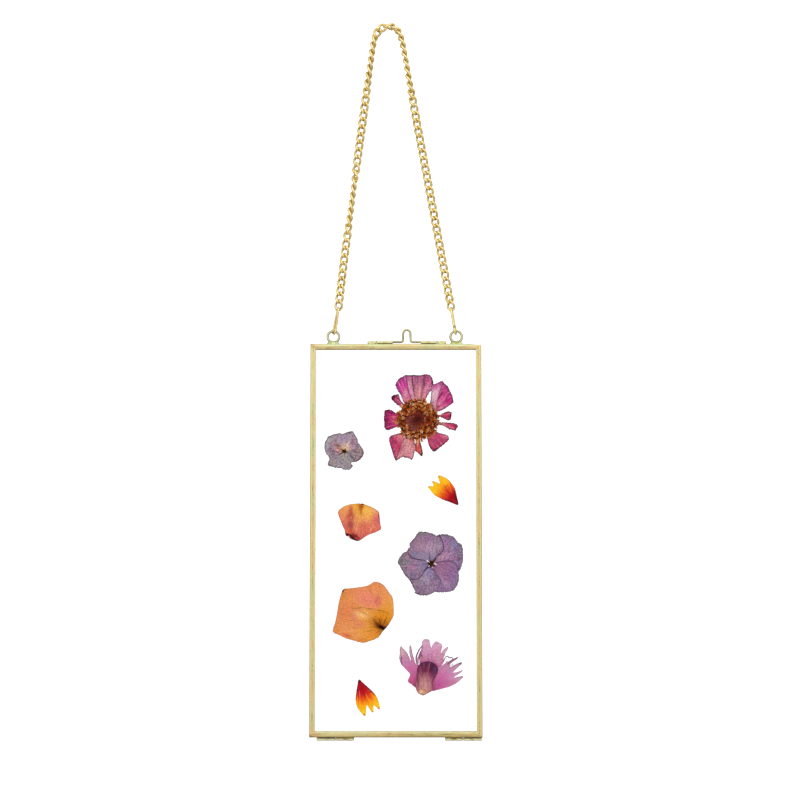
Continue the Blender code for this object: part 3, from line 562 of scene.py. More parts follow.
def filed(point):
    """The top right corner has been filed low and round, and all that is above gives way."""
    along = min(1.0, max(0.0, (point.x - frame_right + FILED_LENGTH) / FILED_LENGTH))
    past = max(0.0, point.x - frame_right + FILED_RADIUS)
    slope = FILED_DROP * along ** 2 * (3 - 2 * along)
    drop = slope + FILED_RADIUS - math.sqrt(FILED_RADIUS ** 2 - past ** 2)
    below = (frame_top - point.z) / RAIL_WIDTH
    return Vector((point.x, point.y, point.z - drop * max(0.0, 1 - below)))


for leaf in ("back", "front"):
    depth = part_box(f"{leaf}_rail_left")[0].y
    sides = (
        ("bottom", frame_left, frame_bottom, 0.0, frame_right - frame_left, level_brass),
        ("right", frame_right, frame_bottom, -90.0, frame_top - frame_bottom, upright_brass),
        ("top", frame_right, frame_top, 180.0, frame_right - frame_left, level_brass),
        ("left", frame_left, frame_top, 90.0, frame_top - frame_bottom, upright_brass),
    )
    for side_name, x, z, turn, length, brass in sides:
        place = Matrix.Translation((x, depth, z)) @ Matrix.Rotation(math.radians(turn), 4, "Y")
        vertices, faces = channel(length)
        placed = [filed(place @ Vector(vertex)) for vertex in vertices]
        rail = add_mesh(f"{leaf}_channel_{side_name}", placed, faces, brass, sharp=SHARP_BEND)
        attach(rail, f"{leaf}_leaf")
        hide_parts(f"{leaf}_rail_{side_name}")

# Panes: clear float glass. It is seen only by its reflections, so it stays perfectly smooth.
float_glass, tree = new_material("clear_float_glass")
set_shader(tree, {
    "Base Color": linear("#FFFFFF"), "Roughness": 0.0, "IOR": 1.5, "Transmission Weight": 1.0})
for leaf in ("back", "front"):
    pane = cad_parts[f"{leaf}_pane"]
    pane.data.materials.clear()
    pane.data.materials.append(float_glass)

# ---------------------------------------------------------------------------------------
# Eye rings: bent from round brass wire and soldered upright on the back leaf's top rail.
# The solder has run up both sides of the foot in a pale fillet.

RING_POINTS = 72
FOOT_HALF_LENGTH = 4.6 * MM
FOOT_HALF_DEPTH = 1.5 * MM
FOOT_HEIGHT = 1.9 * MM
SOLDER_SINK = 0.01 * MM
MOUND_RINGS = 8
MOUND_SIDES = 32

ring_brass = metal_finish("drawn_brass_wire", "#C8C8A2 #D4D6AE #D0CAA2", 0.2, relief=0.03)
solder = metal_finish("soft_solder_fillet", "#D8E2B4 #E2E2AE #D8CC88", 0.32, cloud=250.0, stains_and_painted_light=(
    (39.4, -186.7, 3.4, 1.2, 0, "#8C7C28", 0.8), (-32.7, -186.5, 2.4, 0.7, 0, "#A89850", 0.7)))


def solder_mound(centre, half_length, half_depth, height, name_seed):
    """A low uneven mound of solder on a level surface, highest at its middle."""
    ripple = random.Random(name_seed)
    phases = [ripple.uniform(0, 2 * math.pi) for _ in range(3)]
    rows = []
    for ring in range(1, MOUND_RINGS + 1):
        share = ring / MOUND_RINGS
        for side in range(MOUND_SIDES):
            angle = 2 * math.pi * side / MOUND_SIDES
            edge = 1 + 0.08 * math.sin(3 * angle + phases[0]) + 0.05 * math.sin(5 * angle + phases[1])
            fall = max(0.0, share - 0.2) / 0.8
            full = min(1.0, 1.9 * (1 - fall ** 2 * (3 - 2 * fall)))
            rise = height * full * (1 + 0.12 * math.sin(4 * angle + phases[2]) * share)
            rows.append((centre[0] + half_length * share * edge * math.cos(angle),
                         centre[1] + half_depth * share ** 0.8 * edge * math.sin(angle), centre[2] + rise))
    # The innermost ring closes on one point, in place of an end.
    sides = skin(MOUND_RINGS, MOUND_SIDES, flipped=True)[:-2]
    faces = [(0, 1 + side, 1 + (side + 1) % MOUND_SIDES) for side in range(MOUND_SIDES)]
    faces += [tuple(1 + corner for corner in face) for face in sides]
    base = 1 + (MOUND_RINGS - 1) * MOUND_SIDES
    faces.append(tuple(base + side for side in range(MOUND_SIDES))[::-1])
    return [(centre[0], centre[1], centre[2] + height)] + rows, faces


for side_name in ("left", "right"):
    low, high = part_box(f"eye_ring_{side_name}")
    ring_centre = (low + high) / 2
    ring_radius = (high.x - low.x - RING_WIRE) / 2
    circle = [ring_centre + point for point in arc((0, 0), ring_radius, 0, 360, RING_POINTS + 1)[:-1]]
    ring_wire = wire_along(circle, RING_WIRE / 2, sides=20, closed=True)
    foot = (ring_centre.x, ring_centre.y, frame_top - SOLDER_SINK)
    mound = solder_mound(foot, FOOT_HALF_LENGTH, FOOT_HALF_DEPTH, FOOT_HEIGHT, side_name)
    eye_ring = add_mesh(f"eye_ring_{side_name}_wire", *join_parts([ring_wire, mound]), ring_brass, solder,
                        second_from=len(ring_wire[1]))
    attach(eye_ring, "back_leaf")
    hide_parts(f"eye_ring_{side_name}")

# ---------------------------------------------------------------------------------------
# Latch and hinges: short lengths of brass tube on the seam between the leaves. Each is
# soldered to its own leaf along its foot, and keeps the file's small facet at its ends.

TUBE_SIDES = 40
TUBE_EDGE = 0.1 * MM
LATCH_BORE = 0.675 * MM
KNUCKLE_BORE = 0.55 * MM
FILLET_STEPS = 24
LAP_STEPS = 4
HOLLOW_STEPS = 5
SOLDER_LAP = 0.02 * MM
# Each kind's solder: its reach from the tube, how far round the tube it comes, how far
# it keeps from the tube's two ends, and the length over which it thins out.
LATCH_SOLDER = (1.3 * MM, 38.0, 0.3 * MM, 0.3 * MM, 0.8 * MM)
BACK_KNUCKLE_SOLDER = (1.9 * MM, 30.0, 0.3 * MM, 0.3 * MM, 0.8 * MM)
FRONT_KNUCKLE_SOLDER = (2.3 * MM, 6.0, 1.6 * MM, 0.6 * MM, 2.6 * MM)

tube_brass = metal_finish("turned_brass_tube", "#E6E6C4 #F2ECC4 #ECE0B0", 0.13,
                          (200.0, 2000.0, 2000.0), relief=0.05, dull=0.07)
dark_solder = metal_finish(
    "burnt_solder_fillet", "#CEC88C #D2C080 #C0A050", 0.3, cloud=250.0, stains_and_painted_light=(
        (39.2, -416.8, 2.8, 0.8, 0, "#A07818", 0.9), (-21.6, -416.6, 2.0, 0.7, 0, "#D8C878", 0.7)))


def turned_tube(start, end, centre_y, centre_z, radius, bore):
    """Vertices and faces of a tube along X whose end edges are slightly rounded."""
    nick = TUBE_EDGE * 0.3
    profile = ((start, bore), (start, radius - TUBE_EDGE), (start + nick, radius - nick),
               (start + TUBE_EDGE, radius), ((start + end) / 2, radius), (end - TUBE_EDGE, radius),
               (end - nick, radius - nick), (end, radius - TUBE_EDGE), (end, bore))
    vertices = []
    for index in range(TUBE_SIDES):
        angle = 2 * math.pi * index / TUBE_SIDES
        for x, reach in profile:
            vertices.append((x, centre_y + reach * math.cos(angle), centre_z + reach * math.sin(angle)))
    return vertices, skin(TUBE_SIDES, len(profile), closed=True)


def tube_fillet(start, end, centre_y, centre_z, radius, surface_z, outward, reach, cover, taper):
    """Solder between a tube and the rail beside it, hollow like water in a corner.

    outward is +1 where the leaf is behind the tube, and -1 where it is in front."""
    up = 1 if centre_z < surface_z else -1
    section = []
    for step in range(LAP_STEPS + 1):
        angle = math.radians(90 - (90 - cover) * step / LAP_STEPS)
        section.append((centre_y + outward * (radius - SOLDER_LAP) * math.cos(angle),
                        centre_z + up * (radius - SOLDER_LAP) * math.sin(angle)))
    top_y, top_z = section[-1]
    foot_y, foot_z = centre_y + outward * reach, surface_z + up * SOLDER_SINK
    for step in range(1, HOLLOW_STEPS + 1):
        share = step / HOLLOW_STEPS
        section.append((top_y + (foot_y - top_y) * share ** 1.7, top_z + (foot_z - top_z) * share ** 0.6))
    section.append((centre_y + outward * 0.2 * MM, foot_z))
    base_y = centre_y + outward * 0.3 * MM
    vertices = []
    for step in range(FILLET_STEPS + 1):
        share = step / FILLET_STEPS
        full = min(1.0, share * (end - start) / taper, (1 - share) * (end - start) / taper)
        swell = math.sqrt(max(full, 0.02)) * (1 + 0.03 * math.sin(7 * share + start * 900))
        for y, z in section:
            vertices.append((start + (end - start) * share,
                             base_y + (y - base_y) * swell, foot_z + (z - foot_z) * min(1.0, swell)))
    return vertices, skin(FILLET_STEPS + 1, len(section), flipped=True)


for kind, bore, surface in (
        ("latch_tube", LATCH_BORE, frame_top), ("hinge_knuckle", KNUCKLE_BORE, frame_bottom)):
    for leaf, outward in (("back", 1), ("front", -1)):
        for side_name in ("left", "right"):
            node_name = f"{kind}_{leaf}_{side_name}"
            low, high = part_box(node_name)
            centre = (low + high) / 2
            radius = (high.z - low.z) / 2
            tube = turned_tube(low.x, high.x, centre.y, centre.z, radius, bore)
            if kind == "latch_tube":
                finish, (reach, cover, outer_gap, inner_gap, taper) = solder, LATCH_SOLDER
            elif leaf == "back":
                finish, (reach, cover, outer_gap, inner_gap, taper) = dark_solder, BACK_KNUCKLE_SOLDER
            else:
                finish, (reach, cover, outer_gap, inner_gap, taper) = dark_solder, FRONT_KNUCKLE_SOLDER
            before, after = (outer_gap, inner_gap) if side_name == "left" else (inner_gap, outer_gap)
            fillet = tube_fillet(low.x + before, high.x - after, centre.y, centre.z, radius, surface,
                                 outward, reach, cover, taper)
            made = add_mesh(f"{node_name}_brass", *join_parts([tube, fillet]), tube_brass, finish,
                            second_from=len(tube[1]), sharp=SHARP_BEND)
            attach(made, f"{leaf}_leaf")
            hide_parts(node_name)

# Hinge pins: cut lengths of drawn wire that turn freely in the knuckles. Their ends are
# filed round: how far in from the end, and what share of the full radius is left there.
PIN_END = ((0.0, 0.6), (0.06 * MM, 0.9), (0.15 * MM, 1.0))
pin_wire = metal_finish("hinge_pin_wire", "#6E6650 #8A8264 #9A906C", 0.35)
for side_name in ("left", "right"):
    low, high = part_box(f"hinge_pin_{side_name}")
    centre = (low + high) / 2
    radius = (high.z - low.z) / 2
    wire = [(low.x + from_end, radius * share) for from_end, share in PIN_END]
    wire += [(high.x - from_end, radius * share) for from_end, share in reversed(PIN_END)]
    points = [(x, centre.y, centre.z) for x, _ in wire]
    pin = add_mesh(f"hinge_pin_{side_name}_wire", *wire_along(
        points, [thickness for _, thickness in wire], sides=24), pin_wire, sharp=SHARP_BEND)
    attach(pin, "back_leaf")
    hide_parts(f"hinge_pin_{side_name}")

# The latch's spring: one wire bent to a loop to pinch, with an arm out to each side
# through the tubes. It has darkened where fingers hold it.
SPRING_WIRE = 1.35 * MM
LOOP_RADIUS = 2.1 * MM
LOOP_HEIGHT = 7.1 * MM
FOOT_SPREAD = 0.15 * MM
FOOT_BEND = 1.2 * MM

low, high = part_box("latch_spring")
spring_place = Vector(((low.x + high.x) / 2, (low.y + high.y) / 2, low.z + SPRING_WIRE / 2))
arm = (high.x - low.x) / 2
half = [Vector((arm, 0, 0)), Vector((arm - 0.1 * MM, 0, 0)), Vector((arm * 0.6, 0, 0))]
half += arc((LOOP_RADIUS + FOOT_SPREAD + FOOT_BEND, FOOT_BEND), FOOT_BEND, -90, -180, 12)
half += arc((0.0, LOOP_HEIGHT - LOOP_RADIUS), LOOP_RADIUS, 0, 90, 16)
mirrored = [Vector((-point.x, point.y, point.z)) for point in reversed(half[:-1])]
spring_points = [spring_place + point for point in half + mirrored]
spring_brass = metal_finish("worn_spring_wire", "#9C9672 #B2AC88 #BCB48E", 0.24, relief=0.04,
                            dull=0.25)
latch_spring = add_mesh("latch_spring_wire", *wire_along(spring_points, SPRING_WIRE / 2, sides=20),
                        spring_brass, sharp=60)
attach(latch_spring, "back_leaf")
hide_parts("latch_spring")

# ---------------------------------------------------------------------------------------
# Pressed petals: each is one dry sheet a tenth of a millimetre thick. Pressing leaves it
# flat, with fine ribs that fan out from its root and low crinkles between them, and its
# torn or toothed rim has dried darkest. Where one petal laps another, the dark rim along
# the seam is partly painted shade.

PETAL_THICKNESS = 0.1 * MM
RIM_STEP = 0.3 * MM
GRAIN_STEP = 0.45 * MM
CRINKLE_SIZE = 1.7 * MM
PETAL_GLOSS = 0.02


def front_outline(node_name):
    """The loop of (x, z) points round the front face of a flat CAD node, and that face's y."""
    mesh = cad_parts[node_name].data
    edges = set()
    for polygon in mesh.polygons:
        if polygon.normal.y > -0.5:
            continue
        places = []
        for index in polygon.vertices:
            co = mesh.vertices[index].co
            places.append((round(co.x, 7), round(co.z, 7)))
        for edge in zip(places, places[1:] + places[:1]):
            if edge[::-1] in edges:
                edges.remove(edge[::-1])
            else:
                edges.add(edge)
    following = dict(edges)
    loop = [min(following)]
    while following[loop[-1]] != loop[0]:
        loop.append(following[loop[-1]])
    return np.array(loop), min(vertex.co.y for vertex in mesh.vertices)


def inside_and_apart(points, rim):
    """Which points lie inside the rim, and how far each is from it."""
    inside = np.zeros(len(points), bool)
    nearest = np.full(len(points), 1e9)
    for (x0, z0), (x1, z1) in zip(rim, np.roll(rim, -1, 0)):
        if z1 != z0:
            cut = x0 + (points[:, 1] - z0) * (x1 - x0) / (z1 - z0)
            inside ^= ((z0 > points[:, 1]) != (z1 > points[:, 1])) & (points[:, 0] < cut)
        span = np.array((x1 - x0, z1 - z0))
        share = np.clip(((points - (x0, z0)) @ span) / max(span @ span, 1e-16), 0, 1)
        nearest = np.minimum(nearest, np.linalg.norm(points - ((x0, z0) + share[:, None] * span), axis=1))
    return inside, nearest


def worn_rim(loop, others, spread, tooth, tooth_height, tear, dice, lap):
    """The loop resampled finely, with teeth and uneven tears, and how much of a seam it is.

    Where it meets one of the others it is a seam: smooth, and lapping over it."""
    closed = np.vstack([loop, loop[:1]])
    lengths = np.concatenate([[0.0], np.cumsum(np.linalg.norm(np.diff(closed, axis=0), axis=1))])
    count = max(12, round(lengths[-1] / RIM_STEP))
    at = np.arange(count) * lengths[-1] / count
    rim = np.stack([np.interp(at, lengths, closed[:, 0]), np.interp(at, lengths, closed[:, 1])], 1)
    rim = (np.roll(rim, 1, 0) + 6 * rim + np.roll(rim, -1, 0)) / 8
    tangent = np.roll(rim, -1, 0) - np.roll(rim, 1, 0)
    tangent /= np.linalg.norm(tangent, axis=1)[:, None]
    turned = np.sum(rim[:, 0] * np.roll(rim[:, 1], -1) - np.roll(rim[:, 0], -1) * rim[:, 1])
    outward = math.copysign(1, turned) * np.stack([tangent[:, 1], -tangent[:, 0]], 1)
    waves = np.zeros(count)
    for share in (1.0, 1.7, 2.9, 4.3):
        turns = max(1, round(lengths[-1] / (tooth * 2.2) * share))
        phase = dice.uniform(0, 2 * math.pi)
        waves += np.sin(2 * math.pi * turns * np.arange(count) / count + phase) / share ** 0.5
    saw = (at / tooth + 0.25 * np.sin(at / tooth)) % 1.0
    seam = np.zeros(count)
    for other in others:
        inside, apart = inside_and_apart(rim, other)
        seam = np.maximum(seam, np.where(inside, 1.0, np.clip(2 - apart / lap, 0, 1)))
    worn = spread + tear * waves / 2 + tooth_height * (saw - 0.5)
    return rim + outward * ((1 - seam) * worn + seam * lap)[:, None], seam


def soft_waves(flat, size, seed):
    """Smooth random waves over a plane, from about -1 to 1, of roughly that size."""
    dice = random.Random(seed)
    total = np.zeros(len(flat))
    for _ in range(5):
        heading = dice.uniform(0, 2 * math.pi)
        pitch = size * dice.uniform(0.6, 1.6)
        along = flat[:, 0] * math.cos(heading) + flat[:, 1] * math.sin(heading)
        total += np.sin(2 * math.pi * along / pitch + dice.uniform(0, 2 * math.pi))
    return total * 0.28


def pressed_petal(node_name, slot, centre, root, finish, spread=0.15, tooth=1.1, tooth_height=0.0,
                  tear=0.1, rib_pitch=0.9, rib_height=0.02, swell=0.06, curl=0.0, dome=0.0, dome_width=2.0,
                  seam_inset=0.2, seam_lap=0.4):
    """A dry petal in place of a CAD node. Its ribs fan out from root, an offset from centre.

    All sizes are millimetres. It stores how far along each point is from root to tip
    (reach), how far round the fan (across), how far in from the rim (inset), and back.
    Where petals lap, seam_inset keeps the dark rim off the seam, or below 0 deepens it there into painted
    shade of the lap."""
    dice = random.Random(node_name)
    loop, front = front_outline(node_name)
    flower = "_".join(node_name.split("_")[:2])
    others = [front_outline(name)[0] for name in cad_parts
              if name.startswith(flower) and name != node_name]
    rim, seam = worn_rim(loop, others, spread * MM, tooth * MM, tooth_height * MM, tear * MM, dice,
                         seam_lap * MM)
    low, high = rim.min(0), rim.max(0)
    grid = []
    for row in range(math.ceil((high[1] - low[1]) / (GRAIN_STEP * 0.866))):
        for column in range(math.ceil((high[0] - low[0]) / GRAIN_STEP)):
            grid.append((low[0] + GRAIN_STEP * (column + row % 2 / 2 + dice.uniform(-0.2, 0.2)),
                         low[1] + GRAIN_STEP * (row * 0.866 + dice.uniform(-0.2, 0.2))))
    grid = np.array(grid)
    inside, apart = inside_and_apart(grid, rim)
    flat = np.vstack([rim, grid[inside & (apart > 0.55 * RIM_STEP)]]) / MM
    border = [(index, (index + 1) % len(rim)) for index in range(len(rim))]
    points, _, triangles, _, _, _ = delaunay_2d_cdt([Vector(point) for point in flat], border, [], 1, 1e-5)
    flat = np.array([tuple(point) for point in points]) * MM
    _, apart = inside_and_apart(flat, rim)
    nearest = np.argmin(np.linalg.norm(flat[:, None] - rim[None], axis=2), axis=1)
    # Along seams the inset shifts by seam_inset; below 0 this darkens the rim there, painted shade where
    # one petal laps another.
    inset = apart / MM + seam_inset * seam[nearest]

    away = flat / MM - (centre[0] + root[0], centre[1] + root[1])
    distance = np.linalg.norm(away, axis=1)
    reach = (distance - distance.min()) / (distance.max() - distance.min())
    middle = away.mean(0)
    bearing = np.arctan2(away[:, 1], away[:, 0]) - math.atan2(middle[1], middle[0])
    bearing = (bearing + math.pi) % (2 * math.pi) - math.pi
    across = bearing * distance.max()
    ribs = np.sin(2 * math.pi * across / rib_pitch + 3 * soft_waves(flat, 6 * MM, node_name))
    inner = np.clip(apart / (1.2 * MM), 0, 1)
    crinkles = soft_waves(flat, CRINKLE_SIZE, node_name + "b")
    relief = (rib_height * (ribs * (0.3 + 0.7 * reach) + 1.6 * crinkles)
              + swell * soft_waves(flat, 8 * MM, slot)
              - curl * (1 - inner) * (0.6 + 0.4 * soft_waves(flat, 5 * MM, node_name + "c"))
              - dome * (1 - (1 - np.clip(apart / (dome_width * MM), 0, 1)) ** 2))
    depth = front + PETAL_THICKNESS / 2 + relief * MM
    half = PETAL_THICKNESS / 2 * np.clip(0.4 + apart / (0.6 * MM), 0, 1)
    count = len(flat)
    vertices = np.vstack([np.stack([flat[:, 0], depth - half, flat[:, 1]], 1),
                          np.stack([flat[:, 0], depth + half, flat[:, 1]], 1)])
    faces = []
    open_edges = set()
    for a, b, c in triangles:
        (xa, za), (xb, zb), (xc, zc) = flat[a], flat[b], flat[c]
        if (xb - xa) * (zc - za) - (xc - xa) * (zb - za) < 0:
            b, c = c, b
        faces.append((a, b, c))
        faces.append((a + count, c + count, b + count))
        for edge in ((a, b), (b, c), (c, a)):
            if edge[::-1] in open_edges:
                open_edges.remove(edge[::-1])
            else:
                open_edges.add(edge)
    faces += [(end, start, start + count, end + count) for start, end in sorted(open_edges)]
    petal = add_mesh(f"{node_name}_pressed", vertices, faces, finish, sharp=75)
    sides = (("reach", reach, reach), ("across", across, across), ("inset", inset, inset),
             ("back", np.zeros(count), np.ones(count)))
    for name, facing, behind in sides:
        attribute = petal.data.attributes.new(name, "FLOAT", "POINT")
        attribute.data.foreach_set("value", np.concatenate([facing, behind]).astype(np.float32))
    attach(petal, "back_leaf")
    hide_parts(node_name)


def petal_finish(name, centre, colours, rim, rib, pale, stains_and_painted_light, vein=0.9, rib_share=0.45,
                 pale_share=0.35, rim_width=0.5, rim_share=0.8, stray=0.5, back="#CDBFC0",
                 seed=0.0, wander=1.4, grain=(0.66, 1.3), burns=()):
    """Dried petal: colours from root to tip, marks, each a stain or a painted shade or highlight, dark and
    pale ribs, a rim, and burns.

    rim too runs from root to tip, and grain is how far its crinkles darken and lighten it: partly uneven
    drying, partly painted shading of the crinkles.
    Skin that has lost its water scatters light with hardly any gloss."""
    material, tree = new_material(name)
    place = add_node(tree, "TexCoord").outputs["Object"]
    reach, across, inset, behind = (
        add_node(tree, "Attribute", attribute_name=stored).outputs["Fac"]
        for stored in ("reach", "across", "inset", "back"))
    fan = add_node(tree, "Math", {0: across, 1: 1 / vein}, operation="MULTIPLY").outputs[0]
    along_rib = add_node(tree, "CombineXYZ", {0: fan, 1: reach, 2: seed})
    fibres = add_node(tree, "TexNoise", {
        "Vector": along_rib.outputs[0], "Scale": 1.0, "Detail": 2.5, "Roughness": 0.6,
        "Distortion": 0.3}).outputs[0]
    crinkle = add_node(tree, "TexNoise", {"Vector": place, "Scale": 1100.0, "Detail": 4.0}).outputs[0]
    clouds = add_node(tree, "TexNoise", {"Vector": place, "Scale": 420.0, "Detail": 3.0})

    ragged = add_node(tree, "Math", {0: fibres, 1: stray, 2: reach}, operation="MULTIPLY_ADD").outputs[0]
    tone_at = add_node(tree, "Math", {0: ragged, 1: -stray / 2}, operation="ADD").outputs[0]
    codes = colours.split()
    tone = add_node(tree, "ValToRGB", {0: tone_at}, tuple(
        zip(np.linspace(0, 1, len(codes)), codes))).outputs[0]
    colour = stained_and_shaded(tree, tone, place, clouds, centre, stains_and_painted_light, wander)
    colour = lay(tree, colour, rib, add_node(tree, "MapRange", {
        0: fibres, 1: 0.52, 2: 0.72, 3: 0.0, 4: rib_share}).outputs[0])
    colour = lay(tree, colour, pale, add_node(tree, "MapRange", {
        0: fibres, 1: 0.46, 2: 0.28, 3: 0.0, 4: pale_share}).outputs[0])
    uneven = add_node(tree, "Math", {
        0: clouds.outputs[0], 1: -1.6 * rim_width, 2: inset}, operation="MULTIPLY_ADD").outputs[0]
    rim_fade = add_node(tree, "MapRange", {
        0: uneven, 1: -0.6 * rim_width, 2: 0.5 * rim_width, 3: rim_share, 4: 0.0},
        interpolation_type="SMOOTHSTEP").outputs[0]
    rim_colour = add_node(tree, "ValToRGB", {0: reach}, tuple(zip((0.25, 0.65), rim.split()))).outputs[0]
    rimmed = add_node(tree, "Mix", {0: rim_fade, 6: colour, 7: rim_colour}, data_type="RGBA")
    colour = lay(tree, rimmed.outputs[2], back, add_node(tree, "Math", {
        0: behind, 1: 0.4}, operation="MULTIPLY").outputs[0])
    colour = stained_and_shaded(tree, colour, place, clouds, centre, burns, 0.7)
    # The crinkles darken and lighten the colour: partly uneven drying, partly painted shade and light on
    # the crinkles themselves.
    mottle_and_crinkle_shade = add_node(tree, "MapRange", {
        0: crinkle, 1: 0.34, 2: 0.66, 3: grain[0], 4: grain[1]}).outputs[0]
    mottled_and_shaded = add_node(tree, "VectorMath", {0: colour, "Scale": mottle_and_crinkle_shade}, operation="SCALE")
    fold = add_node(tree, "Math", {0: fibres, 1: 0.6, 2: crinkle}, operation="MULTIPLY_ADD").outputs[0]
    set_shader(tree, {
        "Base Color": mottled_and_shaded.outputs[0], "Normal": add_node(tree, "Bump", {
            "Height": fold, "Strength": 0.5, "Distance": 0.2 * MM}).outputs[0],
        "Roughness": 0.7, "Specular IOR Level": PETAL_GLOSS})
    return material


def fibre_skin(name, scale, detail, stops, roughness, gloss=PETAL_GLOSS, relief=0.0):
    """Dry plant fibre, whose colours follow one fine noise; the relief is its wrinkles' strength."""
    material, tree = new_material(name)
    place = add_node(tree, "TexCoord").outputs["Object"]
    fibres = add_node(tree, "TexNoise", {"Vector": place, "Scale": scale, "Detail": detail}).outputs[0]
    set_shader(tree, {
        "Base Color": add_node(tree, "ValToRGB", {0: fibres}, stops).outputs[0],
        "Roughness": roughness, "Specular IOR Level": gloss})
    if relief:
        set_shader(tree, {
            "Normal": add_node(tree, "Bump", {
                "Height": fibres, "Strength": relief, "Distance": 0.2 * MM}).outputs[0]})
    return material


# ---------------------------------------------------------------------------------------
# Zinnia: fourteen magenta petals round a wide disc of rusty florets. The petals dried
# unevenly, so each has its own pink, and their tips are scorched violet and maroon.

ZINNIA = (16.7, -232.4)


def zinnia_petal(part, colours, rim, stains_and_painted_light, pale="#E3AFC4", rib="#8A2A62"):
    """One petal of the zinnia; its ribs run out from the middle of the disc."""
    finish = petal_finish(f"dried_zinnia_petal_{part}", ZINNIA, colours, rim, rib, pale, stains_and_painted_light,
                          rib_share=0.6, pale_share=0.5, rim_width=0.7, rim_share=0.95,
                          seed=7.7 + len(part))
    pressed_petal(f"zinnia_petal_{part}", "dried_pink_petal", ZINNIA, (0.0, 0.0), finish,
                  tooth=0.9, tooth_height=0.16, tear=0.16, seam_inset=0.22)


zinnia_petal("top_left", "#E6B0B8 #D4749A #CB5193 #C94295 #AF3987", "#653157 #3B1647", (
    (-9.2, 20.0, 2.4, 3.4, 10, "#D842A4", 0.7), (-12.6, 20.5, 1.2, 4.4, 10, "#733280", 0.7),
    (-11.6, 16.0, 1.0, 2.6, 35, "#793A80", 0.5), (-6.0, 23.6, 1.3, 1.6, 0, "#732E61", 0.6),
    (-7.0, 15.4, 1.3, 2.6, 0, "#EAB2C4", 0.5), (-8.8, 13.0, 1.3, 1.6, 0, "#DC96B0", 0.5)))
zinnia_petal("top_pale", "#E1A7B6 #D994AE #D186A8 #C77198 #B45E8A", "#60304B #411F3E", (
    # The dark line at (-2.6, 21.0), along this petal's right edge, is painted shadow.
    (-4.6, 20.6, 1.2, 4.4, 4, "#DC97B4", 0.7), (-2.6, 21.0, 0.5, 4.6, 3, "#78345E", 0.75),
    (-6.3, 22.6, 0.6, 3.0, 6, "#A64C86", 0.6), (-3.9, 25.6, 1.6, 0.7, 0, "#8A587B", 0.5)), rib="#9E487B")
zinnia_petal("top_dusky", "#D78588 #D38B92 #CA7E92 #B7668C #A1567A", "#603045 #381B35", (
    (1.1, 17.0, 0.8, 4.6, -4, "#E09FA3", 0.75), (0.4, 22.6, 2.4, 2.2, 0, "#AD5C84", 0.6),
    (-2.3, 19.0, 0.45, 5.4, 6, "#662850", 0.7), (3.5, 22.0, 0.5, 3.6, 2, "#62224C", 0.75),
    (-0.6, 24.6, 1.8, 1.0, 0, "#904C77", 0.6)), rib="#853B60")
zinnia_petal("top_right", "#DF8790 #DC7B96 #D3719A #CB6496 #BF5690", "#532038 #2E0F2C", (
    (5.0, 18.4, 0.7, 3.6, -28, "#E7A7BA", 0.6), (7.2, 18.0, 0.8, 3.2, -32, "#E5A9BA", 0.6),
    (8.6, 21.8, 0.45, 3.4, 8, "#3E1634", 0.85), (4.6, 25.0, 1.8, 0.9, 0, "#873B70", 0.6),
    (6.6, 22.4, 1.0, 1.8, 0, "#C65392", 0.5), (3.6, 14.2, 1.3, 1.8, 0, "#E2928E", 0.6)))
zinnia_petal("upper_right_pale", "#B85D8C #D997B8 #DCA7C1 #D181B0 #C35A9A", "#733E5E #602051", (
    (10.6, 19.6, 2.6, 2.2, 0, "#CD5DA0", 0.7), (9.0, 14.0, 1.0, 4.0, -14, "#E8BDD0", 0.65),
    (8.2, 10.0, 1.6, 1.0, 0, "#B8648B", 0.6), (13.6, 20.8, 1.0, 1.8, 30, "#A4347F", 0.6)),
    pale="#F1D1DA", rib="#AF568A")
zinnia_petal("upper_right", "#974636 #D16A90 #CE5A94 #C6428C #B62D81", "#60183E #280424", (
    (13.4, 14.2, 0.6, 5.2, -32, "#851760", 0.8), (17.6, 11.4, 2.4, 1.6, 20, "#A60F65", 0.75),
    (14.0, 10.6, 0.5, 4.2, -40, "#E594B6", 0.65), (16.0, 15.8, 1.8, 2.4, 0, "#C8448C", 0.5),
    (15.8, 20.0, 1.4, 2.6, 35, "#AF3484", 0.5), (11.6, 7.2, 1.2, 1.6, 0, "#9E2D4C", 0.6),
    (13.6, 6.6, 1.4, 0.6, 25, "#E290A0", 0.6)))
zinnia_petal("right_small", "#F1E2D4 #E7BDBA #C65272 #C33660 #A62958", "#86636B #21040F", (
    (17.4, 2.6, 1.4, 1.2, 0, "#D54075", 0.6), (13.6, 3.4, 1.2, 0.9, 0, "#EDD4CC", 0.7),
    (14.4, 1.6, 0.8, 0.8, 0, "#621726", 0.5)))
zinnia_petal("right_thin", "#EDD8BF #CA9890 #C35A72 #CE426E #A63450", "#6E463E #460F18", (
    (14.4, -1.6, 1.6, 0.5, -10, "#A66269", 0.6), (19.4, -3.6, 1.8, 0.9, -12, "#D54877", 0.6),
    (22.6, -3.0, 0.8, 0.8, 0, "#852D36", 0.6)))
zinnia_petal("lower_right", "#732514 #B83B56 #C34270 #C14472 #A6345E", "#530F26 #14040D", (
    (9.9, -12.8, 2.2, 2.2, 0, "#994472", 0.6), (8.6, -14.4, 1.2, 2.2, 30, "#D35E72", 0.6),
    (16.0, -9.4, 2.0, 1.8, 30, "#D76C81", 0.65), (13.0, -7.6, 1.6, 0.5, -30, "#851C36", 0.6),
    (13.4, -12.6, 2.6, 0.9, 40, "#B22B69", 0.6), (11.2, -17.0, 1.0, 0.7, 35, "#0D0414", 0.9),
    (9.6, -18.2, 0.9, 0.7, 20, "#0D0414", 0.85), (18.0, -11.4, 0.8, 0.7, 50, "#140418", 0.9),
    (14.6, -15.0, 2.2, 0.5, 40, "#2C0426", 0.7)))
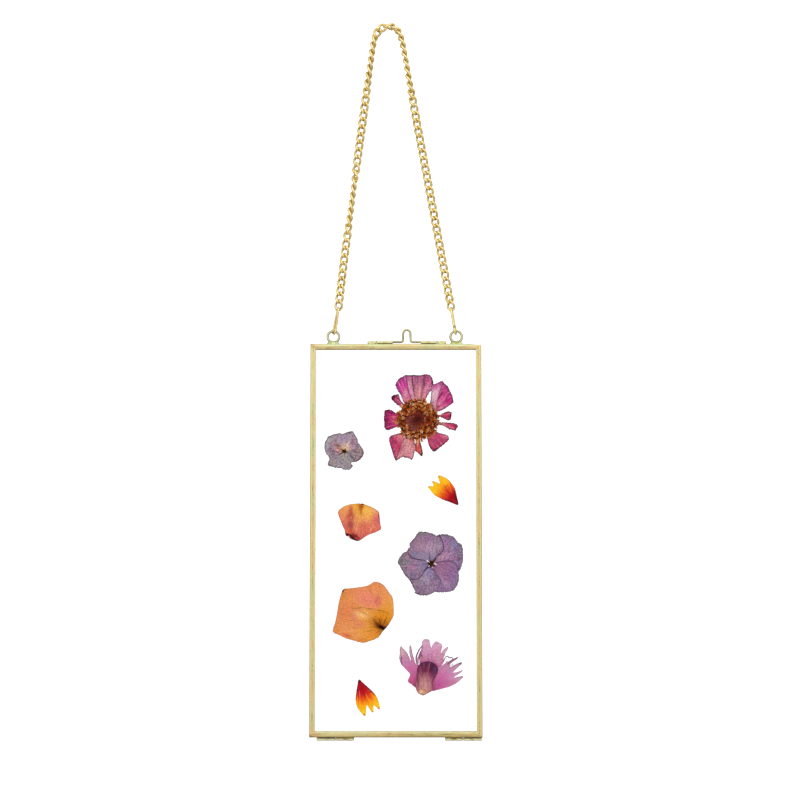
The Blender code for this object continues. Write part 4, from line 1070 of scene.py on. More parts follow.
zinnia_petal("bottom_narrow", "#974621 #D98365 #D75A5A #D15058 #A63B48", "#733032 #21040C", (
    (0.4, -12.6, 0.8, 2.4, 0, "#EBA77F", 0.7), (-0.4, -16.4, 0.5, 1.6, 20, "#A6293E", 0.6),
    (2.4, -20.0, 0.9, 0.9, 0, "#1F040E", 0.9), (1.8, -17.0, 0.6, 1.4, 15, "#E58358", 0.5)),
    pale="#F6B88C")
zinnia_petal("bottom_pale", "#AF5858 #D38794 #D3909C #CE8194 #C37188", "#602B38 #60253E", (
    (-5.6, -17.0, 0.7, 5.0, -40, "#E5A7AA", 0.7), (-4.0, -20.2, 1.8, 2.2, 0, "#DC909C", 0.6),
    (-3.0, -15.0, 1.0, 2.4, -20, "#CA7184", 0.5), (-9.4, -17.2, 0.5, 3.6, -38, "#B43B63", 0.7),
    (-7.2, -12.2, 0.7, 2.4, -10, "#E5A7A5", 0.7), (-2.6, -19.0, 0.5, 3.4, -8, "#A24C69", 0.5),
    (-10.6, -21.6, 1.8, 1.2, 20, "#E0949C", 0.6)), rib="#A64869")
zinnia_petal("bottom_left", "#A64432 #DC7184 #C64C75 #B83B69 #A02D63", "#60182C #380829", (
    (-10.0, -9.0, 2.6, 1.0, 35, "#E58B94", 0.75), (-14.6, -12.4, 1.2, 2.6, 10, "#A62D60", 0.6),
    # The deep magenta patch at (-12.6, -13.0) is painted shadow.
    (-11.4, -15.6, 1.2, 2.4, -20, "#BD2754", 0.7), (-12.6, -13.0, 1.0, 1.8, 30, "#8A2254", 0.6),
    (-12.0, -19.2, 1.2, 2.6, 15, "#D36A7F", 0.6), (-13.2, -10.2, 1.4, 0.8, 30, "#CA6277", 0.5)))
zinnia_petal("left", "#853414 #C3466B #BF2F6E #AD2265 #8A1954", "#530F26 #21041C", (
    (-15.4, 3.9, 2.6, 0.5, -8, "#62093E", 0.8), (-15.0, 0.0, 1.8, 2.2, 0, "#CA3877", 0.6),
    (-13.9, 1.0, 0.7, 0.5, 20, "#EDA73E", 0.7), (-14.3, -0.9, 0.5, 0.4, 0, "#F6B858", 0.7),
    (-17.9, -0.4, 0.7, 3.6, 0, "#73114E", 0.6), (-16.2, -3.4, 1.8, 0.8, -10, "#A63172", 0.5),
    (-17.2, 4.8, 1.4, 0.9, 0, "#902063", 0.6), (-18.4, 5.2, 0.6, 0.6, 0, "#0D040B", 0.9)))
zinnia_petal("upper_left_small", "#853432 #C13E77 #B62965 #A22058 #500936", "#530F2C #14040C", (
    (-13.6, 13.6, 1.0, 0.7, 40, "#3E041D", 0.85), (-12.4, 11.6, 1.0, 1.6, 30, "#C33477", 0.6),
    (-14.4, 12.6, 0.6, 0.8, 0, "#1F0414", 0.8)))

# The disc: several hundred tubular florets, pressed outwards in a spiral. Each is a tube
# of a millimetre with a star-shaped mouth; the open ones are golden, and the eye is maroon.
FLORETS = 300
RAGGED_FLORETS = 64
DISC_RADIUS = 11.6
GOLDEN_ANGLE = math.pi * (3 - math.sqrt(5))
DISC_BACK = -0.98
DISC_DEPTH = 0.62
FLORET_SIDES = 10
SHADE_SHEET_SIDES = 96
SHADE_SHEET_RADIUS = DISC_RADIUS * 0.97
BRACT_LENGTH = 3.4
BRACT_WIDTH = 2.9
BRACT_TIP = 0.02
BRACT_STEPS = 6
BRACT_SECTION = ((-1.0, 0.0), (-0.5, 0.0), (0.0, 0.0), (0.5, 0.0), (1.0, 0.0),
                 (1.0, -0.05), (0.5, -0.05), (0.0, -0.05), (-0.5, -0.05), (-1.0, -0.05))
BRACT_ROOT = 2.4
BRACT_BACK = -0.19
BRACT_ROWS = ((7.2, 16, 0.0), (5.0, 12, 0.07), (2.9, 8, 0.14))


def floret(length, width, spread, dice):
    """A tube with a five-pointed mouth: points as (along, sideways, up), faces and tones. The tones are
    lowest at its foot and in its throat, painted shade, and highest at the lips.
    """
    stations = ((0.0, 0.55, 0.55, 0.0), (0.55, 0.6, 0.6, 0.2), (0.8, 0.75, 0.75, 0.4),
                (0.96, spread, 0.85, 0.85), (1.0, spread * 1.25, 0.95, 1.0), (0.9, spread * 0.8, 0.6, 0.75),
                (0.7, 0.35, 0.35, 0.1), (0.6, 0.02, 0.02, 0.0))
    points, tones = [], []
    for along, tip_radius, notch_radius, tone in stations:
        for side_index in range(FLORET_SIDES):
            tip = side_index % 2 == 0
            radius = width / 2 * (tip_radius if tip else notch_radius) * dice.uniform(0.85, 1.15)
            ahead = length * (along - (0.0 if tip or along < 0.9 else 0.14))
            angle = 2 * math.pi * side_index / FLORET_SIDES
            points.append((ahead, radius * math.cos(angle), radius * math.sin(angle)))
            tones.append(tone)
    return np.array(points), skin(len(stations), FLORET_SIDES), tones


def add_to_disc(x, y, z, faces, tones, kind):
    """Add one piece to the disc's lists; its faces are all florets (0) or all bracts (1)."""
    offset = len(disc_vertices)
    disc_vertices.extend(zip(x, y, z))
    disc_faces.extend(tuple(corner + offset for corner in face) for face in faces)
    disc_tones.extend(tones)
    disc_kinds.extend([kind] * len(faces))


def scale_leaf(length, width):
    """A thin pointed scale as (along, sideways, up) points and faces."""
    points = []
    for step in range(BRACT_STEPS + 1):
        share = step / BRACT_STEPS
        half = width / 2 * math.sin(math.pi * (0.25 + 0.75 * share)) ** 0.8 if share < 1 else BRACT_TIP
        for across, layer in BRACT_SECTION:
            points.append((length * share, half * across, layer + 0.04 * (1 - across ** 2)))
    return np.array(points), skin(BRACT_STEPS + 1, len(BRACT_SECTION), flipped=True)


disc_dice = random.Random(7)
disc_vertices, disc_faces, disc_tones, disc_kinds = [], [], [], []
# A dark sheet under the florets shows between them: painted shade in the gaps.
shade_sheet = [(SHADE_SHEET_RADIUS * math.cos(angle) * (1 + 0.03 * math.sin(7 * angle)),
            SHADE_SHEET_RADIUS * math.sin(angle) * (1 + 0.03 * math.sin(5 * angle)))
           for angle in np.linspace(0, 2 * math.pi, SHADE_SHEET_SIDES, endpoint=False)]
for depth in (DISC_BACK - 0.1, DISC_BACK + 0.04):
    disc_vertices += [(x, depth, z) for x, z in shade_sheet]
disc_faces += skin(2, SHADE_SHEET_SIDES, flipped=True)
disc_tones += [0.0] * len(disc_vertices)
disc_kinds += [0] * len(disc_faces)
for index in range(FLORETS + RAGGED_FLORETS):
    out = min(1.0, (index + 0.5) / FLORETS)
    radius = DISC_RADIUS * out ** 0.5 * disc_dice.uniform(0.95, 1.03)
    angle = index * GOLDEN_ANGLE + disc_dice.uniform(-0.1, 0.1)
    length = (0.8 + 1.5 * out) * disc_dice.uniform(0.8, 1.3)
    width = (0.8 + 0.5 * out) * disc_dice.uniform(0.8, 1.15)
    if index >= FLORETS:
        radius = DISC_RADIUS * disc_dice.uniform(1.0, 1.1)
        width *= 0.75
    open_share = min(1.0, 0.25 + 1.2 * out) * disc_dice.uniform(0.7, 1.3)
    points, faces, tones = floret(length, width, 0.8 + 0.9 * open_share, disc_dice)
    lean = math.radians(25 + 45 * (1 - out) + disc_dice.uniform(-18, 18))
    heading = angle + disc_dice.uniform(-0.5, 0.5)
    start = radius - 0.75 * length * math.cos(lean)
    outwards = points[:, 0] * math.cos(lean) - points[:, 2] * math.sin(lean)
    towards = points[:, 0] * math.sin(lean) + points[:, 2] * math.cos(lean)
    towards = DISC_DEPTH * np.tanh((towards + 0.18 * (1 - out)) / (DISC_DEPTH * 1.5))
    x = start * math.cos(angle) + outwards * math.cos(heading) - points[:, 1] * math.sin(heading)
    z = start * math.sin(angle) + outwards * math.sin(heading) + points[:, 1] * math.cos(heading)
    bright = disc_dice.random()
    shown = [0.04 + 0.72 * bright * (0.4 + 0.6 * tone)
             + 0.34 * tone * open_share * disc_dice.uniform(0.4, 1.1) for tone in tones]
    add_to_disc(x, DISC_BACK - towards, z, faces, shown, 0)
# Behind the petals, three rows of scales clasp the head.
for row_radius, count, lift in BRACT_ROWS:
    for index in range(count):
        points, faces = scale_leaf(BRACT_LENGTH, BRACT_WIDTH)
        angle = 2 * math.pi * (index + disc_dice.uniform(-0.15, 0.15)) / count
        outwards = row_radius - BRACT_ROOT + points[:, 0]
        x = outwards * math.cos(angle) - points[:, 1] * math.sin(angle)
        z = outwards * math.sin(angle) + points[:, 1] * math.cos(angle)
        tones = [disc_dice.uniform(0.2, 0.9)] * len(points)
        add_to_disc(x, BRACT_BACK + lift + points[:, 2], z, faces, tones, 1)

# Dry florets: dull and fibrous, pale at the lips, where pollen has dried. Their dark throats and feet, and
# the dark sheet between them, are painted shade.
floret_skin, tree = new_material("dried_disc_floret")
place = add_node(tree, "TexCoord").outputs["Object"]
tone = add_node(tree, "Attribute", attribute_name="tone").outputs["Fac"]
browns = add_node(tree, "ValToRGB", {0: tone}, (
    (0.0, "#1A0402"), (0.16, "#561408"), (0.34, "#9A3606"), (0.5, "#BA4E0A"),
    (0.66, "#DA802C"), (0.8, "#FAC484"), (0.93, "#FFF4DC"))).outputs[0]
flecks = add_node(tree, "TexNoise", {"Vector": place, "Scale": 800.0, "Detail": 3.0})
colour = stained_and_shaded(tree, browns, place, flecks, ZINNIA, (
    (-0.6, -0.2, 7.4, 6.4, 0, "#8A3430", 0.5), (-0.2, -0.4, 4.4, 3.6, 0, "#5C1A1A", 0.8),
    (0.2, 0.2, 2.4, 1.9, 0, "#4C1414", 0.75), (-4.8, -0.8, 2.6, 3.6, 0, "#9A5458", 0.4),
    (-2.6, -5.2, 3.4, 1.8, -20, "#A0646A", 0.35), (6.0, 5.6, 4.4, 2.6, -40, "#B05808", 0.45),
    (-10.4, 1.4, 1.4, 5.0, 0, "#A86412", 0.4), (8.6, -7.2, 3.6, 2.2, 40, "#9A3808", 0.4)), wander=1.0)
fleck_share = add_node(tree, "MapRange", {
    0: flecks.outputs[0], 1: 0.35, 2: 0.7, 3: 0.7, 4: 1.2}).outputs[0]
dusted = add_node(tree, "VectorMath", {0: colour, "Scale": fleck_share}, operation="SCALE")
set_shader(tree, {"Base Color": dusted.outputs[0], "Roughness": 0.55, "Specular IOR Level": PETAL_GLOSS})

# Bracts: papery olive-brown scales with dark tips.
bract_skin = fibre_skin("dried_bract", 900.0, 4.0, (
    (0.3, "#4A3C1C"), (0.5, "#7A703A"), (0.7, "#A0935A")), 0.7, gloss=0.5)

disc_places = [((ZINNIA[0] + x) * MM, y * MM, (ZINNIA[1] + z) * MM) for x, y, z in disc_vertices]
zinnia_disc = add_mesh("zinnia_disc_florets", disc_places, disc_faces, floret_skin, bract_skin, sharp=60)
disc_tone = zinnia_disc.data.attributes.new("tone", "FLOAT", "POINT")
disc_tone.data.foreach_set("value", np.array(disc_tones, np.float32))
zinnia_disc.data.polygons.foreach_set("material_index", np.array(disc_kinds, np.int32))
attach(zinnia_disc, "back_leaf")
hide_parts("zinnia_disc")

# ---------------------------------------------------------------------------------------
# Two hydrangea florets: broad papery sepals round a small dried heart. The upper one has
# faded to greyed lilac; the lower one, cut with finer teeth, has kept its purple.

HYDRANGEAS = {"lilac": (-26.2, -250.9), "purple": (24.6, -316.2)}
# How far each floret's dark rims keep off its seams, in mm; the purple's, below 0, deepen there into
# painted shade where its sepals lap.
SEPAL_SEAMS = {"lilac": 0.3, "purple": -0.05}
SEPAL_RIMS = {"lilac": "#463848 #3C3240", "purple": "#382246 #403648"}


def sepal(flower, part, colours, pale, rib, stains_and_painted_light, rim=None, **shape):
    """One hydrangea sepal; it widens from the heart and is netted with fine veins."""
    finish = petal_finish(f"dried_{flower}_sepal_{part}", HYDRANGEAS[flower], colours,
                          rim or SEPAL_RIMS[flower], rib, pale, stains_and_painted_light, vein=0.7, rib_share=0.4,
                          pale_share=0.45, rim_width=0.6, rim_share=0.9, back="#B8B0B8",
                          seed=float(len(part)), wander=0.8, grain=(0.66, 1.32))
    pressed_petal(f"{flower}_sepal_{part}", f"dried_{flower}_sepal", HYDRANGEAS[flower], (0.0, 0.0), finish,
                  swell=0.05, seam_lap=0.65, seam_inset=SEPAL_SEAMS[flower], **shape)


sepal("lilac", "left", "#CE9C8A #AA7F88 #9F889B #9F91A1 #998D9B", "#C1B0BE", "#796074", (
    (-7.9, 1.0, 1.6, 1.2, 0, "#8B5381", 0.6), (-6.5, -0.1, 0.8, 0.9, 0, "#62365E", 0.7),
    (-8.0, 1.6, 0.5, 0.5, 0, "#753267", 0.7), (-9.8, 6.2, 2.0, 2.6, 0, "#ABA8AE", 0.7),
    (-6.6, 4.2, 2.8, 1.0, -8, "#AE788A", 0.6), (-3.8, 3.4, 2.4, 1.0, -12, "#874C43", 0.75),
    (-3.4, 1.6, 2.4, 0.9, -15, "#CB8874", 0.7), (-3.8, 1.7, 0.9, 0.4, -20, "#80322B", 0.7),
    (-4.0, 0.6, 1.0, 0.5, -20, "#E6B3B3", 0.65), (-2.2, 0.4, 1.2, 0.8, 0, "#D7A78D", 0.6),
    (-9.1, 8.2, 0.6, 0.5, 0, "#372A3A", 0.85), (-4.6, 6.2, 0.4, 1.2, 8, "#523F55", 0.7),
    (-5.6, 6.6, 0.8, 1.6, 0, "#996B7D", 0.5), (-8.6, 7.6, 1.4, 0.8, 0, "#969590", 0.6),
    (-3.8, -0.6, 1.6, 0.9, 20, "#926B88", 0.5), (-6.6, -1.6, 1.6, 1.0, 0, "#77537D", 0.55),
    (-10.6, 2.6, 0.9, 2.2, 0, "#A79CAE", 0.6), (-7.6, 9.0, 1.4, 0.5, 20, "#897A81", 0.5)),
    tooth=1.6, tooth_height=0.12, tear=0.16)
sepal("lilac", "upper", "#E6B588 #CEABA3 #AC95AA #9F8DA3 #937F95", "#C9B7C7", "#77627B", (
    (-1.1, 7.4, 1.8, 2.8, 0, "#A687B3", 0.75), (1.2, 2.8, 0.8, 2.4, -18, "#EAC2AA", 0.8),
    (-0.9, 1.8, 1.5, 0.7, 10, "#DEA27B", 0.8), (2.3, 4.2, 0.5, 2.6, -32, "#E1C6C7", 0.6),
    (5.0, 4.8, 1.8, 2.6, 0, "#986782", 0.75), (4.8, 6.6, 0.7, 1.2, 0, "#AA5477", 0.6),
    (5.4, 2.0, 1.4, 0.5, 15, "#C998C0", 0.7), (3.6, 7.4, 0.8, 0.7, 0, "#B895A1", 0.5),
    (1.6, 6.2, 0.7, 1.6, 0, "#8B7C90", 0.55), (-2.2, 4.2, 1.0, 1.6, 0, "#9B767F", 0.5),
    (3.0, 9.6, 3.0, 0.8, 10, "#9F869B", 0.6), (7.0, 4.2, 0.7, 2.4, 0, "#875C7D", 0.6),
    (3.8, 2.2, 0.6, 0.6, 0, "#998390", 0.6), (2.0, 11.0, 2.8, 0.6, 8, "#775C79", 0.6),
    (5.6, 1.3, 2.2, 0.3, 12, "#6C4074", 0.8), (7.6, 3.0, 0.35, 1.5, -30, "#5C3C64", 0.8)),
    tooth=1.9, tooth_height=0.1, tear=0.14)
sepal("lilac", "right", "#9F8696 #998394 #967F89 #998089 #826D77", "#BDA8B3", "#66505C", (
    (7.0, -0.5, 3.8, 0.22, -2, "#543F49", 0.75), (6.6, 0.6, 3.4, 0.2, 8, "#725965", 0.6),
    (6.4, -1.8, 3.4, 0.2, -12, "#755C67", 0.6), (9.0, 0.8, 1.6, 1.2, 0, "#A38386", 0.6),
    # The dark blue-grey strip at (4.5, -2.8) is painted shadow along the fold at the seam with the bottom
    # sepal.
    (5.6, -1.3, 1.6, 0.5, -12, "#BCA2B3", 0.7), (4.5, -2.8, 3.2, 0.8, -50, "#56526A", 0.85),
    (3.2, -2.0, 1.4, 0.9, -30, "#696076", 0.75), (5.8, -3.6, 0.4, 1.8, 10, "#523D55", 0.75),
    (8.0, -3.0, 2.0, 1.4, 0, "#9B7C90", 0.5), (7.2, -5.2, 1.6, 0.8, 20, "#A58B9F", 0.5),
    (10.4, -2.4, 0.6, 2.4, -25, "#6D5965", 0.5)), tooth=1.8, tooth_height=0.12, tear=0.14)
sepal("lilac", "bottom", "#A79799 #9E9499 #9F929A #9E919C #918392", "#B6A8B1", "#837483", (
    (-2.2, -6.2, 1.5, 1.8, 0, "#9181A3", 0.75), (-6.2, -5.4, 0.4, 3.0, 0, "#9E868D", 0.6),
    (-5.2, -6.6, 0.6, 2.0, 0, "#B58C90", 0.6), (-4.4, -5.0, 0.5, 3.0, 0, "#8C7B99", 0.5),
    (-3.6, -7.4, 0.6, 2.0, 0, "#B9A8B7", 0.65), (-7.4, -5.6, 0.6, 2.4, 8, "#9C9192", 0.5),
    (-1.0, -7.2, 0.7, 0.7, 0, "#6B5F77", 0.6), (-5.8, -3.4, 2.0, 1.0, 0, "#91789A", 0.6),
    # The dark blue-grey strip at (4.5, -3.1) is painted shadow along the fold at the seam with the right
    # sepal.
    (4.5, -3.1, 3.0, 0.9, -50, "#524E66", 0.9), (2.0, -5.2, 1.8, 2.0, 0, "#9D9699", 0.7),
    (1.2, -9.0, 1.8, 1.2, 0, "#8C7F99", 0.55), (3.6, -8.2, 1.2, 0.9, 30, "#9E8E8E", 0.6),
    (0.0, -3.0, 1.8, 1.2, 0, "#AB9B9A", 0.6), (-0.4, -4.6, 0.4, 1.6, 12, "#8A7B8D", 0.5),
    (5.0, -5.8, 0.6, 0.5, 0, "#524C63", 0.7)),
    rim="#645B6A #4E4452", tooth=1.3, tooth_height=0.2, tear=0.2)
sepal("purple", "upper_left", "#80729E #9381A0 #977597 #917292 #856F81", "#B59EB4", "#715A82", (
    (0.0, 9.4, 3.0, 4.4, -8, "#BC9BB6", 0.5), (-6.4, 10.0, 2.8, 2.4, 0, "#AF859E", 0.75),
    (-9.4, 5.2, 2.4, 1.8, 0, "#787A99", 0.8), (-8.8, 12.2, 2.2, 1.6, 0, "#9F768D", 0.6),
    (-2.2, 14.2, 2.6, 1.8, 0, "#976696", 0.6), (-2.6, 9.2, 1.2, 2.6, 0, "#B696B0", 0.65),
    (2.8, 12.6, 1.8, 2.2, 0, "#85768E", 0.65), (4.4, 10.0, 1.0, 2.4, -25, "#AD9BBB", 0.75),
    (-5.2, 17.2, 2.6, 1.0, 0, "#77777B", 0.75), (4.0, 6.4, 1.4, 1.6, 0, "#885D81", 0.6),
    (-1.0, 4.8, 0.35, 2.4, 0, "#523563", 0.75), (-4.6, 5.0, 3.0, 1.0, -8, "#8C80A4", 0.6),
    (-12.6, 9.6, 1.2, 1.6, 0, "#87767F", 0.6), (-4.0, 7.4, 0.8, 1.0, 0, "#B694A9", 0.5),
    (0.6, 8.6, 0.5, 3.0, -4, "#8C618B", 0.5)), tooth=1.5, tooth_height=0.3, tear=0.18)
sepal("purple", "upper_right", "#9F6F90 #A87F9D #9F76A0 #91769E #7E6C86", "#B99EB9", "#735282", (
    (7.8, 11.8, 1.6, 2.4, 0, "#AF72AD", 0.75), (13.6, 10.4, 2.2, 2.6, 0, "#807BA7", 0.75),
    (12.6, 14.0, 2.6, 1.4, -20, "#87669B", 0.6), (11.8, 8.6, 1.6, 1.2, 0, "#8F8190", 0.65),
    (8.2, 4.8, 2.4, 1.6, 20, "#B790AD", 0.75), (11.0, 5.8, 1.4, 0.35, 15, "#CDAAC6", 0.7),
    (14.8, 7.0, 1.6, 1.8, 0, "#7C5F8D", 0.6), (13.0, 3.6, 3.8, 0.9, -6, "#A46A8E", 0.65),
    (10.4, 6.4, 0.5, 1.4, 30, "#704774", 0.5), (6.6, 7.6, 1.0, 2.4, 0, "#A87DA7", 0.5),
    (9.0, 15.8, 2.8, 0.9, -10, "#8C7A92", 0.6), (16.0, 3.0, 0.9, 2.2, 0, "#815274", 0.6),
    (10.0, 10.6, 0.9, 1.6, 0, "#9F768B", 0.5)), tooth=1.5, tooth_height=0.3, tear=0.18)
sepal("purple", "lower_right", "#926188 #996D92 #966C96 #926D9C #866D91", "#A78CAC", "#775081", (
    (5.6, -3.6, 2.4, 2.2, 0, "#A37191", 0.75), (8.9, -7.8, 2.0, 2.4, 0, "#996C97", 0.6),
    (12.6, -7.8, 2.2, 1.8, 0, "#8A689D", 0.6), (9.2, -11.8, 2.6, 2.0, 0, "#A286A7", 0.7),
    (12.4, -3.6, 1.8, 1.4, 0, "#8C6190", 0.6), (10.6, 0.8, 4.0, 0.45, -6, "#774770", 0.6),
    (6.6, -0.6, 3.4, 0.3, -4, "#7F5078", 0.55), (14.6, -1.2, 1.8, 0.6, -40, "#693F66", 0.7),
    (15.8, -3.0, 0.8, 0.8, 0, "#4F3356", 0.85), (8.0, -4.8, 1.6, 1.4, 0, "#9E759D", 0.5),
    (12.8, -12.0, 2.0, 1.4, 0, "#827196", 0.6), (6.4, -9.0, 0.5, 4.0, 22, "#AA93B0", 0.6),
    (13.8, -5.6, 1.6, 2.0, 0, "#916D9C", 0.5)),
    rim="#69476E #685A74", tooth=1.5, tooth_height=0.26, tear=0.16)
sepal("purple", "bottom", "#8070A2 #8E7DA4 #8E7497 #8E7290 #806C82", "#B2A3B2", "#6B567F", (
    (-3.4, -9.4, 2.6, 4.4, -25, "#AA93AC", 0.5), (-2.4, -4.8, 1.4, 2.6, 8, "#9589B7", 0.75),
    (2.8, -7.6, 1.8, 2.8, 15, "#7C6C86", 0.75), (1.1, -11.2, 1.2, 1.6, 0, "#9F6699", 0.65),
    (-8.6, -11.0, 1.8, 2.0, 0, "#978C90", 0.7), (-4.6, -9.4, 1.6, 2.4, 0, "#978AA0", 0.6),
    (-6.4, -14.2, 1.8, 1.2, 0, "#885D8B", 0.55), (-3.0, -13.0, 1.2, 1.8, 0, "#816C8B", 0.5),
    (-0.8, -9.0, 0.3, 4.2, 2, "#705299", 0.6), (0.0, -6.0, 0.4, 2.6, 0, "#9A689E", 0.5),
    (-4.4, -11.6, 0.8, 0.8, 0, "#604465", 0.5), (3.4, -12.6, 1.0, 2.2, 0, "#8C7A92", 0.5),
    (-9.6, -8.8, 0.9, 1.6, 30, "#A89B9E", 0.6), (-5.6, -8.0, 0.6, 2.6, -28, "#AFA3B0", 0.5)),
    tooth=1.5, tooth_height=0.3, tear=0.18)
sepal("purple", "left", "#786B99 #877699 #957494 #8F7490 #80747F", "#B39BB0", "#6B547B", (
    (-15.0, 0.4, 3.0, 1.6, 0, "#807A82", 0.8), (-11.4, -2.2, 2.8, 1.4, 0, "#AF76A2", 0.75),
    (-13.9, 4.6, 1.8, 1.8, 0, "#97747F", 0.65), (-10.4, -7.0, 2.2, 1.2, 0, "#786C9B", 0.7),
    (-4.4, -0.4, 1.6, 0.8, 0, "#71688E", 0.6), (-9.0, 0.6, 2.0, 0.7, -10, "#9C6F96", 0.6),
    (-14.6, -2.8, 0.6, 0.9, 0, "#52354F", 0.6), (-8.2, -4.6, 2.0, 1.0, 10, "#9C819D", 0.5),
    (-11.4, -3.0, 0.5, 0.5, 0, "#7E4477", 0.5), (-17.6, 1.6, 0.9, 1.0, 0, "#565253", 0.6),
    (-12.0, 2.2, 2.2, 0.6, -20, "#8F7A82", 0.5)), tooth=1.6, tooth_height=0.2, tear=0.16)

# The hearts: what is left of each floret's true flower, shrunk to a dark star whose arms
# lie flat. Pale stamens show between the purple one's arms.
HEART_FLATNESS = 0.42
FIBRE_STEP = 0.15
STAMENS_BEHIND = 0.05

heart_skin = fibre_skin("shrivelled_flower_heart", 1500.0, 4.0, (
    (0.3, "#0E0502"), (0.5, "#2E1806"), (0.7, "#6E4414")), 0.5, gloss=0.06, relief=0.6)
stamen_skin = fibre_skin("dried_stamen", 1200.0, 2.0, (
    (0.3, "#E8C4CC"), (0.6, "#FFF6F2")), 0.6, gloss=0.5)


def flattened_wire(centre, depth, points, radii, flatness=HEART_FLATNESS):
    """Tapered round fibre through (x, z) offsets in mm, pressed flat against the petals."""
    path = smooth_path([(x, 0.0, z) for x, z in points], FIBRE_STEP)
    at = np.linspace(0, len(radii) - 1, len(path))
    vertices, faces = wire_along(path, np.interp(at, range(len(radii)), radii), sides=10)
    placed = [((centre[0] + x) * MM, (depth + y * flatness) * MM, (centre[1] + z) * MM)
              for x, y, z in vertices]
    return placed, faces


def flower_heart(flower, arms, stamens):
    """The dark star in place of a heart node, with its stamens."""
    centre = HYDRANGEAS[flower]
    low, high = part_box(f"{flower}_heart")
    depth = (low.y + high.y) / 2 / MM
    dark = [flattened_wire(centre, depth, points, radii) for points, radii in arms]
    light = [flattened_wire(centre, depth + STAMENS_BEHIND, points, radii) for points, radii in stamens]
    made = add_mesh(f"{flower}_heart_star", *join_parts(dark + light), heart_skin, stamen_skin,
                    second_from=sum(len(faces) for _, faces in dark))
    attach(made, "back_leaf")
    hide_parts(f"{flower}_heart")


flower_heart("lilac", (
    (((-1.1, -0.2), (0.0, 0.1), (1.1, -0.1)), (0.35, 1.0, 1.0, 0.35)),
    (((0.0, 0.9), (0.1, 0.0), (0.0, -0.9)), (0.3, 0.8, 0.8, 0.3)),
    (((-0.2, -0.3), (-1.3, -1.1), (-2.4, -1.8), (-3.0, -2.6)), (0.4, 0.22, 0.2, 0.14, 0.06)),
    (((0.4, 0.1), (0.8, 1.0), (0.9, 2.0)), (0.4, 0.2, 0.06)),
    (((-0.3, 0.2), (-1.0, 0.7), (-1.5, 0.8)), (0.4, 0.25, 0.08)),
    (((0.5, -0.2), (1.4, -0.6), (2.2, -0.9)), (0.45, 0.3, 0.08)),
    (((0.1, -0.4), (0.3, -1.2), (0.4, -2.1)), (0.4, 0.2, 0.06)),
), ())
flower_heart("purple", (
    (((-1.4, 0.1), (0.0, 0.0), (1.3, -0.1)), (0.4, 1.0, 1.0, 0.4)),
    (((0.3, 1.5), (0.0, 0.0), (-0.3, -1.4)), (0.4, 0.9, 0.9, 0.4)),
    (((-0.8, 0.1), (-2.0, 0.2), (-3.2, 0.0)), (0.45, 0.3, 0.08)),
    (((-0.3, 0.8), (-0.8, 2.4), (-1.0, 4.4)), (0.4, 0.3, 0.2, 0.06)),
    (((0.8, 0.6), (1.9, 1.8), (2.9, 2.9)), (0.45, 0.3, 0.08)),
    (((0.8, -0.5), (1.8, -1.3), (2.3, -2.0)), (0.45, 0.3, 0.1)),
    (((-0.5, -0.7), (-0.6, -2.2), (-0.8, -3.8)), (0.4, 0.2, 0.05)),
    (((-0.8, -0.5), (-1.4, -1.2)), (0.4, 0.3, 0.1)),
    (((0.6, 0.9), (1.0, 1.8)), (0.4, 0.3, 0.1)),
), (
    (((-2.8, 1.9), (-2.1, 1.4), (-1.5, 1.0)), (0.14, 0.38, 0.36, 0.15)),
    (((1.5, 0.2), (2.4, -0.2), (3.1, -0.6)), (0.15, 0.42, 0.4, 0.15)),
    (((-1.7, -1.6), (-1.3, -1.1)), (0.1, 0.2, 0.1)),
    (((0.6, -2.0), (0.8, -2.6)), (0.1, 0.2, 0.1)),
))

# ---------------------------------------------------------------------------------------
# Ray florets: two toothed rays of a coreopsis-like flower, crimson at the root and yellow
# at the three teeth. Each is creased lengthwise, and its colours bleed along the creases.

UPPER_RAY = (39.9, -281.4)
LOWER_RAY = (-17.4, -383.5)
RAY_COLOURS = "#6C1628 #B01428 #BE1628 #CE2828 #E8541E #FA921C #FEB61C #FECA22 #FAC622"

